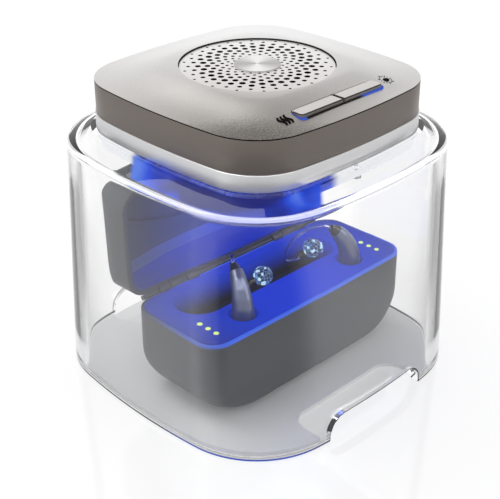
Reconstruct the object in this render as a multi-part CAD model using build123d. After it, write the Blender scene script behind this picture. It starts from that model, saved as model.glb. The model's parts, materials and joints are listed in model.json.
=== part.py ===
from build123d import *
import os
from math import atan2, cos, hypot, pi, radians, sin, sqrt

# Countertop hearing aid dryer: a clear moulded hood with a fan and heater head,
# stood over an open charging case that holds two hearing aids.
# Millimetres, +Z up, origin at the middle of the footprint on the table.
# The side with the buttons and one finger arch faces -Y.

# ---- clear hood ----
case_length = 105.6
hood_side_room = 12.2       # from the case's end to the outside of the hood's foot
hood_half = case_length / 2 + hood_side_room    # half width across the flats at the foot
hood_corner = 35.8          # corner radius at the foot
hood_bulge = 7.7            # how far a side bows past the corner tangents
hood_draft = 3.2            # how much narrower each side is at the rim
hood_rim_z = 95.0
hood_rim_round = 6.0        # outer rounding of the rim
hood_wall = 4.0
hood_neck_margin = 2.0      # the flat seat reaches this far past the head
hood_shoulder_rise = 3.7
hood_foot_round = 0.8
arch_width = 52.0           # finger arches, front and back
arch_height = 9.5
arch_corner = 8.0

# ---- head outline ----
head_half = 50.0
head_corner = 22.4
head_bulge = 4.4
ring_overhang = 0.3
ring_height = 6.4
band_height = 12.3
band_wall = 2.4
floor_thickness = 2.0
plug_inset = 4.0            # the lower part that passes through the hood is this much smaller
plug_wall = 2.0
plug_depth = 9.2            # below the hood's seat
plug_clearance = 0.3
airway_radius = 26.0

# ---- top cover and grille ----
cover_edge = 0.25
cover_crown = 4.45
cover_flat_share = 0.58     # share of the outline that is level on top
cover_crown_power = 1.3
cover_wall = 2.0
grille_radius = 28.5
grille_ledge = 1.9
grille_thickness = 1.2
grille_step = 0.5           # how far the disc lies below the cover
grille_clearance = 0.2
ledge_depth = 1.5
spoke_pairs = 18
hole_rings = 11
first_ring_radius = 9.3
ring_pitch = 1.76
hole_small = 0.5
hole_large = 1.15
hole_sides = 6
cap_radius = 8.5
cap_height = 0.7

# ---- buttons ----
button_length = 20.4
button_depth = 4.6
button_gap = 0.8
button_inset = 10.4         # from the head's front edge to the buttons' middle line
button_rise = 2.6           # button tops above the cover's seam
button_round = 1.4
button_edge = 0.5
button_travel = 0.5
button_clearance = 0.25
bezel_wall = 0.6
bezel_step = 1.2            # how far the light guide ends below the button tops
button_flange = 0.8
stem_radius = 1.4
switch_room = 5.9           # from the seam down to the control board
control_board_end = 9.6     # added to a button's length, from the middle
control_board_width = 13.2
control_post_x = 26.0
switch_side = 5.2
switch_height = 1.6
switch_plunger = 0.7

# ---- fan ----
fan_side = 60.0
fan_corner = 5.0
fan_height = 10.0
fan_bore = 28.4
fan_screw_spacing = 50.0
blade_count = 7
blade_tip = 27.4
blade_thickness = 1.1
blade_root_chord = 6.6
blade_tip_chord = 9.6
blade_root_pitch = 42.0
blade_tip_pitch = 27.0
hub_radius = 11.5
hub_wall = 1.2
stator_radius = 8.6
shaft_radius = 1.5
running_gap = 0.05

# ---- heater, light board, outlet ----
heater_length = 46.0
heater_width = 30.0
heater_height = 6.0
heater_fins = 13
heater_fin = 0.5
heater_bar = 3.0
heater_frame_wall = 3.0
heater_drop = 1.6
outlet_thickness = 1.8
outlet_clearance = 0.2
light_ring_radius = 29.0
light_count = 8
light_window = 3.2
light_size = 3.4
light_height = 1.0
lens_half_width = 4.4
lens_thickness = 0.6
light_post_radius = 1.3
board_thickness = 1.6
boss_reach = 34.0
boss_radius = 3.0
screw_radius = 1.2
gasket_thickness = 0.5
retainer_thickness = 2.8
clamp_hole = 1.0

# ---- power inlet ----
inlet_back_step = 1.3       # the socket's mouth inside the band's face
inlet_width = 9.0
inlet_height = 3.2
inlet_depth = 7.4
inlet_shell = 0.4
inlet_rise = 2.2

# ---- base mat ----
mat_clearance = 0.8
mat_thickness = 1.6
mat_notch_margin = 2.0      # each side of the arch
mat_notch_depth = 16.0

# ---- charging case ----
case_width = 43.4
case_x = 0.8
case_y = -9.3
case_corner = 8.0
case_top_z = 37.0
case_end_round = 18.0
case_edge_round = 4.0
case_wall = 2.0
tray_gap = 0.15
tray_thickness = 1.6
pocket_length = 78.0
pocket_width = 19.0
pocket_shift_x = -3.8       # from the middle of the case
pocket_shift_y = 6.8
pocket_depth = 14.0
pocket_wall = 1.2
well_radius = 5.6
well_spacing = 58.0
well_shift_x = 1.2          # middle of the two wells, from the middle of the case
well_inset = 11.0           # from the case's front wall
well_depth = 12.0
lamp_radius = 0.95
lamp_pitch = 4.2
lamp_inset = 9.0            # from the case's end
lamp_shift_y = 1.1          # from the line of the wells
lamp_proud = 0.1
board_end_room = 5.8         # from the case's outside
board_side_room = 3.7
cell_length = 60.0
cell_width = 30.0
cell_height = 6.0
contact_radius = 0.7
contact_spacing = 3.6

# ---- case lid, built shut and then swung open ----
lid_gap = 0.2
lid_end_height = 16.5
lid_crown = 6.5
lid_end_round = 8.0
lid_front_round = 5.0
lid_back_round = 11.0
lid_wall = 1.2
liner_gap = 0.1
liner_wall = 1.0
liner_pad_drop = 2.5
liner_pad_inset = 15.4      # from the case's back, with the lid shut
liner_pad_sweep = 90.0
lid_open_angle = 92.0
hinge_back = 1.0
hinge_rise = 0.1
knuckle_radius = 1.9
knuckle_length = 8.0
lid_knuckle_length = 5.0
knuckle_x = 30.0
knuckle_gap = 0.3
pin_radius = 0.8
magnet_radius = 2.0
magnet_height = 1.6
magnet_x = 38.0

# ---- hearing aids ----
aid_turns = {"left": 67.6, "right": 159.7}      # which way each aid leans
aid_thickness = 8.3
aid_depth = 9.2
aid_top_thickness = 5.0
aid_top_depth = 5.4
aid_arc_radius = 20.8
aid_arc_angle = 48.0
aid_clearance = 0.3
aid_straight = 10.0
plug_length = 3.0
plug_tip_radius = 1.3
tube_radius = 0.55
receiver_radius = 1.8
receiver_length = 5.0
ear_dome_radius = 4.0
ear_dome_wall = 0.6

# ---- places worked out from the sizes above ----
hood_rim_half = hood_half - hood_draft
hood_neck_half = head_half + hood_neck_margin
hood_top_z = hood_rim_z + hood_shoulder_rise
shoulder_low_z = hood_top_z - hood_wall
plug_half = head_half - plug_inset
plug_low_z = hood_top_z - plug_depth
ring_top_z = hood_top_z + ring_height
floor_top_z = ring_top_z + floor_thickness
seam_z = ring_top_z + band_height
plateau_z = seam_z + cover_edge + cover_crown
disc_top_z = plateau_z - grille_step
disc_low_z = disc_top_z - grille_thickness
clamp_reach = (plug_half + plug_clearance + head_half) / 2
button_y = button_inset - head_half
button_top_z = seam_z + button_rise
bezel_low_z = seam_z - 0.4
control_board_z = seam_z - switch_room
control_board_y = button_y + 1.4
switch_top_z = control_board_z + board_thickness + switch_height + switch_plunger
heater_top_z = ring_top_z - heater_drop
outlet_top_z = plug_low_z + 0.2 + outlet_thickness
light_board_z = outlet_top_z + lens_thickness + light_height + 0.2
mat_half = hood_half - hood_wall - mat_clearance
case_back_y = case_y + case_width / 2
hinge_y = case_back_y + hinge_back
hinge_z = case_top_z + hinge_rise
lid_low_z = case_top_z + lid_gap
pocket_x = case_x + pocket_shift_x
pocket_y = case_y + pocket_shift_y
well_y = case_y - case_width / 2 + well_inset
well_x = {"left": case_x + well_shift_x - well_spacing / 2, "right": case_x + well_shift_x + well_spacing / 2}
case_board_z = case_top_z - pocket_depth - pocket_wall - 0.2 - board_thickness

os.makedirs("parts", exist_ok=True)


def save(shape, name):
    export_step(shape, "parts/" + name + ".step")


def bowed_outline(half, corner, bulge, z):
    # rounded square whose four sides bow outward: eight tangent arcs
    side_radius = half * half / (2 * bulge)
    drop = side_radius - half
    linear = 2 * drop
    constant = drop * drop - (side_radius - corner) ** 2
    centre = (-linear + sqrt(linear * linear - 8 * constant)) / 4
    turn = atan2(centre + drop, centre)
    arcs = []
    for quarter in range(4):
        spin = Rot(0, 0, -90 * quarter)
        side_start = (-side_radius * cos(turn), -drop + side_radius * sin(turn))
        side_end = (side_radius * cos(turn), -drop + side_radius * sin(turn))
        corner_end = (centre + corner * sin(turn), centre + corner * cos(turn))
        corner_mid = centre + corner * sin(pi / 4)
        arcs.append(spin * ThreePointArc(side_start, (0, half), side_end))
        arcs.append(spin * ThreePointArc(side_end, (corner_mid, corner_mid), corner_end))
    return Pos(0, 0, z) * Face(Wire(arcs))


def hood_outline(half, z):
    share = half / hood_half
    return bowed_outline(half, hood_corner * share, hood_bulge * share, z)


def head_outline(half, z):
    share = half / head_half
    return bowed_outline(half, head_corner * share, head_bulge * share, z)


def head_prism(half, low, high):
    return extrude(head_outline(half, low), high - low, dir=(0, 0, 1))


def disc(radius, low, high, x=0.0, y=0.0):
    return Pos(x, y, (low + high) / 2) * Cylinder(radius, high - low)


def block(x0, x1, y0, y1, z0, z1):
    middle = Pos((x0 + x1) / 2, (y0 + y1) / 2, (z0 + z1) / 2)
    return middle * Box(x1 - x0, y1 - y0, z1 - z0)


# ---- clear hood ----
def hood_form(inset, low_z):
    # wall with draft, shoulder rising to the neck, rounded rim between them
    rim_z = hood_rim_z - inset * 0.9
    neck = hood_neck_half - inset * 0.5
    foot = hood_outline(hood_half - inset, low_z)
    rim = hood_outline(hood_rim_half - inset, rim_z)
    seat = head_outline(neck, hood_top_z - inset)
    form = loft([foot, rim, seat], ruled=True)
    rim_edges = form.edges().filter_by_position(Axis.Z, rim_z - 0.01, rim_z + 0.01)
    slope = hypot(hood_rim_half - inset - neck, hood_top_z - inset - rim_z)
    return fillet(rim_edges, min(hood_rim_round - inset * 0.8, 0.6 * slope))


def arch_cutter():
    profile = Rectangle(arch_width, 2 * arch_height)
    profile = fillet(profile.vertices(), arch_corner)
    return extrude(Plane.XZ * profile, 2 * hood_half, both=True)


def hood_shell():
    outer = hood_form(0.0, 0.0)
    outer = fillet(outer.faces().sort_by(Axis.Z)[0].edges(), hood_foot_round)
    inner = hood_form(hood_wall, 0.0)
    shell = outer - inner
    shell -= head_prism(plug_half + plug_clearance, shoulder_low_z - hood_wall, hood_top_z + hood_wall)
    shell -= arch_cutter()
    for x, y in clamp_places():
        shell -= disc(clamp_hole + 0.1, shoulder_low_z - hood_wall, hood_top_z + hood_wall, x, y)
    return shell


def clamp_places():
    return [(clamp_reach, 0), (0, clamp_reach), (-clamp_reach, 0), (0, -clamp_reach)]


# ---- head ----
def trim_ring():
    ring = head_prism(head_half + ring_overhang, hood_top_z, ring_top_z)
    ring -= head_prism(plug_half + 0.1, hood_top_z, ring_top_z)
    for x, y in clamp_places():
        ring -= disc(clamp_hole, hood_top_z, ring_top_z - 1.0, x, y)
    return ring


def head_housing():
    wall = head_prism(head_half, ring_top_z, seam_z)
    wall -= head_prism(head_half - band_wall, floor_top_z, seam_z)
    plug = head_prism(plug_half, plug_low_z, ring_top_z)
    plug -= head_prism(plug_half - plug_wall, plug_low_z, ring_top_z)
    housing = wall + plug
    for x, y in boss_places():
        housing += disc(boss_radius, plug_low_z + outlet_thickness + 0.3, ring_top_z, x, y)
        housing -= disc(screw_radius + running_gap, plug_low_z, ring_top_z - 2.0, x, y)
    for x in (-control_post_x, control_post_x):
        housing += disc(2.4, floor_top_z, control_board_z, x, control_board_y)
    housing -= disc(airway_radius, ring_top_z, floor_top_z)
    housing -= inlet_form(0.15, 3.0)
    return housing


def boss_places():
    return [(x, y) for x in (-boss_reach, boss_reach) for y in (-boss_reach, boss_reach)]


def inlet_form(grow, longer):
    # stadium section socket, open to the back
    socket = SlotOverall(inlet_width + 2 * grow, inlet_height + 2 * grow)
    z = floor_top_z + inlet_rise + inlet_height / 2
    start = head_half + 1.0 - inlet_back_step
    return Pos(0, start + longer, z) * extrude(Plane.XZ * socket, inlet_depth + longer)




def power_inlet():
    shell = inlet_form(0.0, 0.0)
    tongue_z = floor_top_z + inlet_rise + inlet_height / 2
    back = head_half + 1.0 - inlet_back_step
    hollow = SlotOverall(inlet_width - 2 * inlet_shell, inlet_height - 2 * inlet_shell)
    shell -= Pos(0, back, tongue_z) * extrude(Plane.XZ * hollow, inlet_depth - 1.0)
    tongue = block(-2.6, 2.6, back - inlet_depth, back - 1.2, tongue_z - 0.35, tongue_z + 0.35)
    return shell + tongue


def inlet_board():
    back = head_half - band_wall - 0.6
    low = floor_top_z + 0.3
    return block(-11, 11, back - 11.0, back, low, floor_top_z + inlet_rise - 0.05)


# ---- top cover ----
def cover_form(drop):
    shares = [1.0, 0.9, 0.79, 0.68, cover_flat_share]
    faces = [head_outline(head_half, seam_z - drop)]
    for share in shares:
        turn = pi / 2 * (share - cover_flat_share) / (1 - cover_flat_share)
        fall = sin(turn) ** cover_crown_power
        z = seam_z - drop + cover_edge + cover_crown * (1 - fall)
        faces.append(head_outline(head_half * share, z))
    return loft(faces, ruled=True)


def button_slot(grow, low, high):
    length = 2 * button_length + button_gap + 2 * grow
    depth = button_depth + 2 * grow
    face = RectangleRounded(length, depth, button_round + grow)
    return Pos(0, button_y, low) * extrude(face, high - low)


def top_cover():
    cover = cover_form(0.0)
    cavity = cover_form(cover_wall) & head_prism(head_half - band_wall, seam_z, plateau_z)
    cover -= cavity
    ledge_low = disc_low_z - ledge_depth
    hole = grille_radius - grille_ledge
    cover += disc(grille_radius + cover_wall, ledge_low, disc_low_z + 0.1)
    cover -= disc(hole, ledge_low, plateau_z)
    cover -= disc(grille_radius, disc_low_z, plateau_z)
    bezel_room = button_clearance + bezel_wall + 0.1
    cover -= button_slot(bezel_room, seam_z - 1.0, plateau_z)
    return cover


def hole_radius(ring):
    # holes swell from both rims of the pattern towards its middle
    middle = (hole_rings - 1) / 2 + 0.5
    share = 1 - min(1.0, abs(ring - middle) / (middle + 0.5))
    return hole_small + (hole_large - hole_small) * share


def grille_disc():
    plate = disc(grille_radius - grille_clearance, disc_low_z, disc_top_z)
    cutters = []
    for ring in range(hole_rings):
        reach = first_ring_radius + ring * ring_pitch
        offset = 0.5 if ring % 2 == 0 else 0.0
        for spoke in range(spoke_pairs):
            angle = 360.0 * (spoke + offset) / spoke_pairs
            hole = RegularPolygon(hole_radius(ring), hole_sides)
            cutters.append(Rot(0, 0, angle) * Pos(reach, 0, 0) * hole)
    pattern = Sketch() + cutters
    return plate - Pos(0, 0, disc_low_z) * extrude(pattern, grille_thickness)


def centre_cap():
    cap = disc(cap_radius, disc_top_z, disc_top_z + cap_height)
    return chamfer(cap.edges().sort_by(Axis.Z)[-1], cap_height * 0.4)


# ---- buttons ----
def button(side):
    # long bar with a rounded outer end and a flange that hooks under the light guide
    low = bezel_low_z - button_clearance / 2
    centre_x = side * (button_length + button_gap) / 2
    bar = RectangleRounded(button_length, button_depth, button_round)
    inner_end = Pos(-side * button_length / 4, 0) * Rectangle(button_length / 2, button_depth)
    body = Pos(centre_x, button_y, low) * extrude(bar + inner_end, button_top_z - low)
    body = fillet(body.faces().sort_by(Axis.Z)[-1].edges(), button_edge)
    hook = button_clearance + bezel_wall
    flange = Box(button_length + hook, button_depth + 2 * hook, button_flange)
    body += Pos(centre_x + side * hook / 2, button_y, low - button_flange / 2) * flange
    stem_low = switch_top_z + button_travel + 0.1
    return body + disc(stem_radius, stem_low, low - button_flange, centre_x, button_y)


def button_bezel():
    # translucent light guide that lines the slot round both buttons
    high = button_top_z - bezel_step
    bezel = button_slot(button_clearance + bezel_wall, bezel_low_z, high)
    return bezel - button_slot(button_clearance, bezel_low_z, high)


def control_board():
    low = control_board_z
    half_l = button_length + control_board_end
    half_w = control_board_width / 2
    plan = (-half_l, half_l, control_board_y - half_w, control_board_y + half_w)
    return block(*plan, low, low + board_thickness)


def button_switches():
    low = control_board_z + board_thickness
    half = switch_side / 2
    parts = []
    for side in (-1, 1):
        x = side * (button_length + button_gap) / 2
        body = block(x - half, x + half, button_y - half, button_y + half, low, low + switch_height)
        parts.append(body + disc(stem_radius, low + switch_height, switch_top_z, x, button_y))
    return Compound(children=parts)


# ---- fan ----
def fan_frame():
    low = floor_top_z
    plate = RectangleRounded(fan_side, fan_side, fan_corner)
    frame = Pos(0, 0, low) * extrude(plate, fan_height)
    frame -= disc(fan_bore, low, low + fan_height)
    frame += disc(hub_radius, low, low + 1.4)
    for arm in range(3):
        strut = block(hub_radius - 1, fan_bore + 0.5, -1.4, 1.4, low, low + 1.4)
        frame += Rot(0, 0, 90 + 120 * arm) * strut
    for x, y in fan_screw_places():
        frame -= disc(1.8, low, low + fan_height, x, y)
    frame -= disc(shaft_radius + 1.2, low, low + 1.4)
    return frame


def fan_screw_places():
    reach = fan_screw_spacing / 2
    return [(x, y) for x in (-reach, reach) for y in (-reach, reach)]


def fan_screws():
    parts = []
    for x, y in fan_screw_places():
        shank = disc(1.6, floor_top_z + 0.2, floor_top_z + fan_height, x, y)
        head = disc(3.0, floor_top_z + fan_height, floor_top_z + fan_height + 1.2, x, y)
        parts.append(shank + head)
    return Compound(children=parts)


def fan_bearing():
    low = floor_top_z + 0.1
    tube = disc(shaft_radius + 1.1, low, low + 6.4)
    return tube - disc(shaft_radius + running_gap, low, low + 6.4)


def fan_stator():
    low = floor_top_z + 1.5
    core = disc(stator_radius, low, low + 4.6)
    core -= disc(shaft_radius + 1.15, low, low + 4.6)
    for arm in range(4):
        slot = block(stator_radius - 3.4, stator_radius + 1, -1.0, 1.0, low, low + 4.6)
        core -= Rot(0, 0, 90 * arm) * slot
    return core


def fan_rotor():
    low = floor_top_z + 1.9
    high = floor_top_z + fan_height - 0.6
    hub = disc(hub_radius, low, high)
    hub -= disc(hub_radius - hub_wall, low, high - hub_wall)
    middle = (low + high) / 2
    for blade in range(blade_count):
        root = Plane((hub_radius - 0.6, 0, middle), x_dir=(0, 1, 0), z_dir=(1, 0, 0))
        tip = Plane((blade_tip, 0, middle), x_dir=(0, 1, 0), z_dir=(1, 0, 0))
        root_face = root * Rot(0, 0, blade_root_pitch) * Rectangle(blade_root_chord, blade_thickness)
        tip_face = tip * Rot(0, 0, blade_tip_pitch) * Rectangle(blade_tip_chord, blade_thickness)
        hub += Rot(0, 0, 360.0 * blade / blade_count) * loft([root_face, tip_face], ruled=True)
    return hub


def fan_shaft():
    low = floor_top_z + 0.4
    return disc(shaft_radius, low, floor_top_z + fan_height - 0.6 - hub_wall)


# ---- heater ----
def heater_core():
    low = heater_top_z - heater_height
    half_l = heater_length / 2
    half_w = heater_width / 2
    bars = [block(-half_l, half_l, y - heater_bar / 2, y + heater_bar / 2, low, heater_top_z)
            for y in (-half_w + heater_bar / 2, 0, half_w - heater_bar / 2)]
    core = bars[0] + bars[1] + bars[2]
    for fin in range(heater_fins):
        x = -half_l + 1.5 + fin * (heater_length - 3.0) / (heater_fins - 1)
        core += block(x - heater_fin / 2, x + heater_fin / 2, -half_w, half_w, low + 0.4, heater_top_z - 0.4)
    return core


def heater_frame():
    low = heater_top_z - heater_height - 0.2
    half_l = heater_length / 2 + 0.2
    half_w = heater_width / 2 + 0.2
    wall = heater_frame_wall
    frame = block(-half_l - wall, half_l + wall, -half_w - wall, half_w + wall, low, heater_top_z)
    frame -= block(-half_l, half_l, -half_w, half_w, low, heater_top_z)
    for x in (-1, 1):
        for y in (-1, 1):
            post_x = x * (half_l + wall / 2)
            post_y = y * (half_w + wall / 2)
            frame += disc(1.4, heater_top_z, ring_top_z, post_x, post_y)
    return frame


def thermal_cutout():
    x = heater_length / 2 + heater_frame_wall + 0.4
    z = heater_top_z - heater_height / 2
    return Pos(x + 2.2, 0, z) * Rot(90, 0, 0) * Cylinder(2.2, 9.0)


# ---- light board and outlet ----
def outlet_plate():
    low = plug_low_z + 0.2
    high = low + outlet_thickness
    plate = head_prism(plug_half - plug_wall - outlet_clearance, low, high)
    for ring in range(3):
        reach = 7.0 + 5.4 * ring
        count = 6 + 6 * ring
        for vent in range(count):
            slot = SlotOverall(5.0, 2.4)
            angle = 360.0 * vent / count
            cutter = Rot(0, 0, angle) * Pos(reach, 0, low) * Rot(0, 0, 90) * extrude(slot, outlet_thickness)
            plate -= cutter
    for x, y in light_places():
        plate -= disc(light_window, low, high, x, y)
    for x, y in boss_places():
        plate -= disc(screw_radius + 0.2, low, high, x, y)
    for post in range(4):
        angle = radians(45 + 90 * post)
        reach = light_ring_radius + lens_half_width + light_post_radius + outlet_clearance
        plate += disc(light_post_radius, high, light_board_z, reach * cos(angle), reach * sin(angle))
    return plate


def light_places():
    places = []
    for index in range(light_count):
        angle = 2 * pi * (index + 0.5) / light_count
        places.append((light_ring_radius * cos(angle), light_ring_radius * sin(angle)))
    return places


def light_lens():
    lens = disc(light_ring_radius + lens_half_width, outlet_top_z, outlet_top_z + lens_thickness)
    return lens - disc(light_ring_radius - lens_half_width, outlet_top_z, outlet_top_z + lens_thickness)


def light_board():
    board = disc(light_ring_radius + 7.6, light_board_z, light_board_z + board_thickness)
    return board - disc(light_ring_radius - 5.5, light_board_z, light_board_z + board_thickness)


def light_emitters():
    parts = []
    half = light_size / 2
    for x, y in light_places():
        low = light_board_z - light_height
        parts.append(block(x - half, x + half, y - half, y + half, low, light_board_z))
    return Compound(children=parts)


def outlet_screws():
    parts = []
    for x, y in boss_places():
        low = plug_low_z + 0.2
        head = disc(2.3, low - 0.9, low, x, y)
        parts.append(head + disc(screw_radius, low, low + 9.0, x, y))
    return Compound(children=parts)


def hood_gasket():
    high = shoulder_low_z
    seal = head_prism(head_half - 0.6, high - gasket_thickness, high)
    seal -= head_prism(plug_half + plug_clearance, high - gasket_thickness, high)
    for x, y in clamp_places():
        seal -= disc(clamp_hole + 0.1, high - gasket_thickness, high, x, y)
    return seal


def retaining_ring():
    high = shoulder_low_z - gasket_thickness
    low = high - retainer_thickness
    ring = head_prism(head_half - 0.6, low, high) - head_prism(plug_half + plug_clearance, low, high)
    for x, y in clamp_places():
        ring -= disc(clamp_hole + 0.1, low, high, x, y)
    return ring


def clamp_screws():
    low = shoulder_low_z - gasket_thickness - retainer_thickness
    parts = []
    for x, y in clamp_places():
        shank = disc(clamp_hole - running_gap, low, ring_top_z - 1.4, x, y)
        parts.append(disc(1.7, low - 0.9, low, x, y) + shank)
    return Compound(children=parts)


# ---- base mat ----
def base_mat():
    mat = extrude(hood_outline(mat_half, 0.0), mat_thickness, dir=(0, 0, 1))
    inner_y = mat_half - mat_notch_depth
    for side in (-1, 1):
        notch = RectangleRounded(arch_width + 2 * mat_notch_margin, mat_half, arch_corner)
        mat -= Pos(0, side * (inner_y + mat_half / 2), 0) * extrude(notch, mat_thickness)
    return mat


# ---- charging case ----
def case_form(inset, floor):
    # plan outline crossed with a round-ended side view and a rounded end view
    length = case_length - 2 * inset
    width = case_width - 2 * inset
    low = mat_thickness + floor
    tall = case_top_z - low
    plan = RectangleRounded(length, width, case_corner - inset)
    form = Pos(case_x, case_y, low) * extrude(plan, tall)
    side = Rectangle(length, 2 * tall)
    side = fillet(side.vertices(), case_end_round - inset)
    form &= Pos(case_x, case_y, case_top_z) * extrude(Plane.XZ * side, width, both=True)
    end = Rectangle(width, 2 * tall)
    end = fillet(end.vertices(), case_edge_round - inset)
    form &= Pos(case_x, case_y, case_top_z) * extrude(Plane.YZ * end, length, both=True)
    return form


def along_hinge(radius, middle_x, length):
    return Pos(middle_x, hinge_y, hinge_z) * Rot(0, 90, 0) * Cylinder(radius, length)


def case_knuckle_places():
    return [case_x - knuckle_x, case_x + knuckle_x]


def lid_knuckle_places():
    step = knuckle_length / 2 + knuckle_gap + lid_knuckle_length / 2
    return [x + side * step for x in case_knuckle_places() for side in (-1, 1)]


def case_shell():
    shell = case_form(0.0, 0.0) - case_form(case_wall, case_wall)
    for x in lid_knuckle_places():
        shell -= along_hinge(knuckle_radius + knuckle_gap, x, lid_knuckle_length + 2 * knuckle_gap)
    for x in case_knuckle_places():
        half = knuckle_length / 2
        shell += along_hinge(knuckle_radius, x, knuckle_length)
        web_low = hinge_z - 2.6 * knuckle_radius
        back = case_back_y - case_wall / 2
        shell += block(x - half, x + half, back, hinge_y, web_low, hinge_z - knuckle_radius * 0.3)
        shell -= along_hinge(pin_radius + running_gap, x, knuckle_length)
    return shell


def pocket(grow, low, high):
    slot = SlotOverall(pocket_length + 2 * grow, pocket_width + 2 * grow)
    return Pos(pocket_x, pocket_y, low) * extrude(slot, high - low)


def lamp_places():
    places = []
    reach = case_length / 2 - lamp_inset
    for x in (case_x - reach, case_x + reach):
        for step in (-1, 0, 1):
            places.append((x, well_y + lamp_shift_y + step * lamp_pitch))
    return places


def contact_places():
    places = []
    for name, x in well_x.items():
        lean = radians(aid_turns[name])
        for side in (-1, 1):
            reach = side * contact_spacing / 2
            places.append((x + reach * cos(lean), well_y + reach * sin(lean)))
    return places


def case_tray():
    inset = case_wall + tray_gap
    plan = RectangleRounded(case_length - 2 * inset, case_width - 2 * inset, case_corner - inset)
    low = case_top_z - tray_thickness
    tray = Pos(case_x, case_y, low) * extrude(plan, tray_thickness)
    pocket_low = case_top_z - pocket_depth
    well_low = case_top_z - well_depth
    tray += pocket(pocket_wall, pocket_low - pocket_wall, case_top_z)
    for x in well_x.values():
        tray += disc(well_radius + pocket_wall, well_low - pocket_wall, case_top_z, x, well_y)
    tray -= pocket(0.0, pocket_low, case_top_z)
    for x in well_x.values():
        tray -= disc(well_radius, well_low, case_top_z, x, well_y)
    for x, y in lamp_places():
        tray -= disc(lamp_radius + 0.1, low, case_top_z, x, y)
    for x, y in contact_places():
        tray -= disc(contact_radius + 0.1, well_low - pocket_wall, well_low, x, y)
    tray -= along_hinge(knuckle_radius + knuckle_gap, case_x, case_length)
    return tray


def case_board():
    half_l = case_length / 2 - board_end_room
    half_w = case_width / 2 - board_side_room
    low = case_board_z
    return block(case_x - half_l, case_x + half_l, case_y - half_w, case_y + half_w, low, low + board_thickness)


def case_cell():
    low = mat_thickness + case_wall + 0.2
    plate = RectangleRounded(cell_length, cell_width, 2.0)
    return Pos(case_x, case_y, low) * extrude(plate, cell_height)


def status_lamps():
    low = case_board_z + board_thickness
    return Compound(children=[disc(lamp_radius, low, case_top_z + lamp_proud, x, y) for x, y in lamp_places()])


def charge_contacts():
    low = case_board_z + board_thickness
    high = case_top_z - well_depth + 0.6
    return Compound(children=[disc(contact_radius, low, high, x, y) for x, y in contact_places()])


def hinge_pins():
    length = knuckle_length + 2 * lid_knuckle_length + 2 * knuckle_gap
    return Compound(children=[along_hinge(pin_radius, x, length) for x in case_knuckle_places()])


# ---- case lid ----
def lid_height(share):
    # share runs from -1 to 1 along the lid: crown plus the round ends
    half = case_length / 2
    past = max(0.0, abs(share) * half - (half - lid_end_round)) / lid_end_round
    fall = lid_end_round * (1 - sqrt(max(0.0, 1 - past * past)))
    return lid_end_height + lid_crown * (1 - share * share) - fall


def lid_section(x, tall, inset, drop):
    # end view: small round at the front, large round at the hinge side
    front = case_y - case_width / 2 + inset
    back = case_back_y - inset
    top = lid_low_z + tall - inset
    front_round = min(lid_front_round - inset, (tall - inset) * 0.45)
    back_round = min(lid_back_round - inset, (tall - inset) * 0.8)
    low = lid_low_z - drop
    points = [Vector(x, front, low), Vector(x, front, top - front_round)]
    lines = [Line(points[0], points[1])]
    mid = 1 - sqrt(0.5)
    front_mid = Vector(x, front + front_round * mid, top - front_round * mid)
    front_end = Vector(x, front + front_round, top)
    back_start = Vector(x, back - back_round, top)
    back_mid = Vector(x, back - back_round * mid, top - back_round * mid)
    back_end = Vector(x, back, top - back_round)
    lines.append(ThreePointArc(points[1], front_mid, front_end))
    lines.append(Line(front_end, back_start))
    lines.append(ThreePointArc(back_start, back_mid, back_end))
    lines.append(Line(back_end, Vector(x, back, low)))
    lines.append(Line(Vector(x, back, low), points[0]))
    return Face(Wire(lines))


def lid_form(inset, drop, lower=0.0):
    shares = [-1.0, -0.985, -0.95, -0.9, -0.848, -0.5, 0.0, 0.5, 0.848, 0.9, 0.95, 0.985, 1.0]
    half = case_length / 2 - inset
    sections = []
    for share in shares:
        x = case_x + share * half
        sections.append(lid_section(x, lid_height(share) - lower, inset, drop))
    form = loft(sections, ruled=True)
    plan = RectangleRounded(2 * half, case_width - 2 * inset, case_corner - inset)
    return form & Pos(case_x, case_y, lid_low_z - drop) * extrude(plan, lid_end_height + lid_crown + drop + 2)


def swing_open(shape):
    return shape.rotate(Axis((0, hinge_y, hinge_z), (1, 0, 0)), -lid_open_angle)


def lid_shell():
    shell = lid_form(0.0, 0.0) - lid_form(lid_wall, 1.0)
    for x in case_knuckle_places():
        shell -= along_hinge(knuckle_radius + knuckle_gap, x, knuckle_length + 2 * knuckle_gap)
    for x in lid_knuckle_places():
        half = lid_knuckle_length / 2
        shell += along_hinge(knuckle_radius, x, lid_knuckle_length)
        back = case_back_y - lid_wall
        shell += block(x - half, x + half, back, hinge_y, hinge_z + 0.6, hinge_z + 2.2 * knuckle_radius)
        shell -= along_hinge(pin_radius + running_gap, x, lid_knuckle_length)
    for x in magnet_places():
        shell -= magnet(x, lid_low_z)
    return swing_open(shell)


def magnet_places():
    return [case_x - magnet_x, case_x + magnet_x]


def magnet(x, low):
    return disc(magnet_radius, low, low + magnet_height, x, case_y)


def lid_liner():
    # inner moulding with a hold-down pad along the hinge side
    outer_inset = lid_wall + liner_gap
    inner_inset = outer_inset + liner_wall
    liner = lid_form(outer_inset, 0.0)
    liner -= lid_form(inner_inset, 1.0, liner_pad_drop)
    ceiling = lid_low_z + lid_end_height + lid_crown
    middle_y = case_back_y - liner_pad_inset - liner_pad_sweep
    front = disc(liner_pad_sweep, lid_low_z - 1.0, ceiling, case_x, middle_y)
    liner -= lid_form(inner_inset, 1.0) & front
    for x in case_knuckle_places():
        liner -= along_hinge(knuckle_radius + knuckle_gap, x, knuckle_length + 2 * knuckle_gap)
    for x in lid_knuckle_places():
        liner -= along_hinge(knuckle_radius + knuckle_gap, x, lid_knuckle_length + 2 * knuckle_gap)
    return swing_open(liner)


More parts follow.
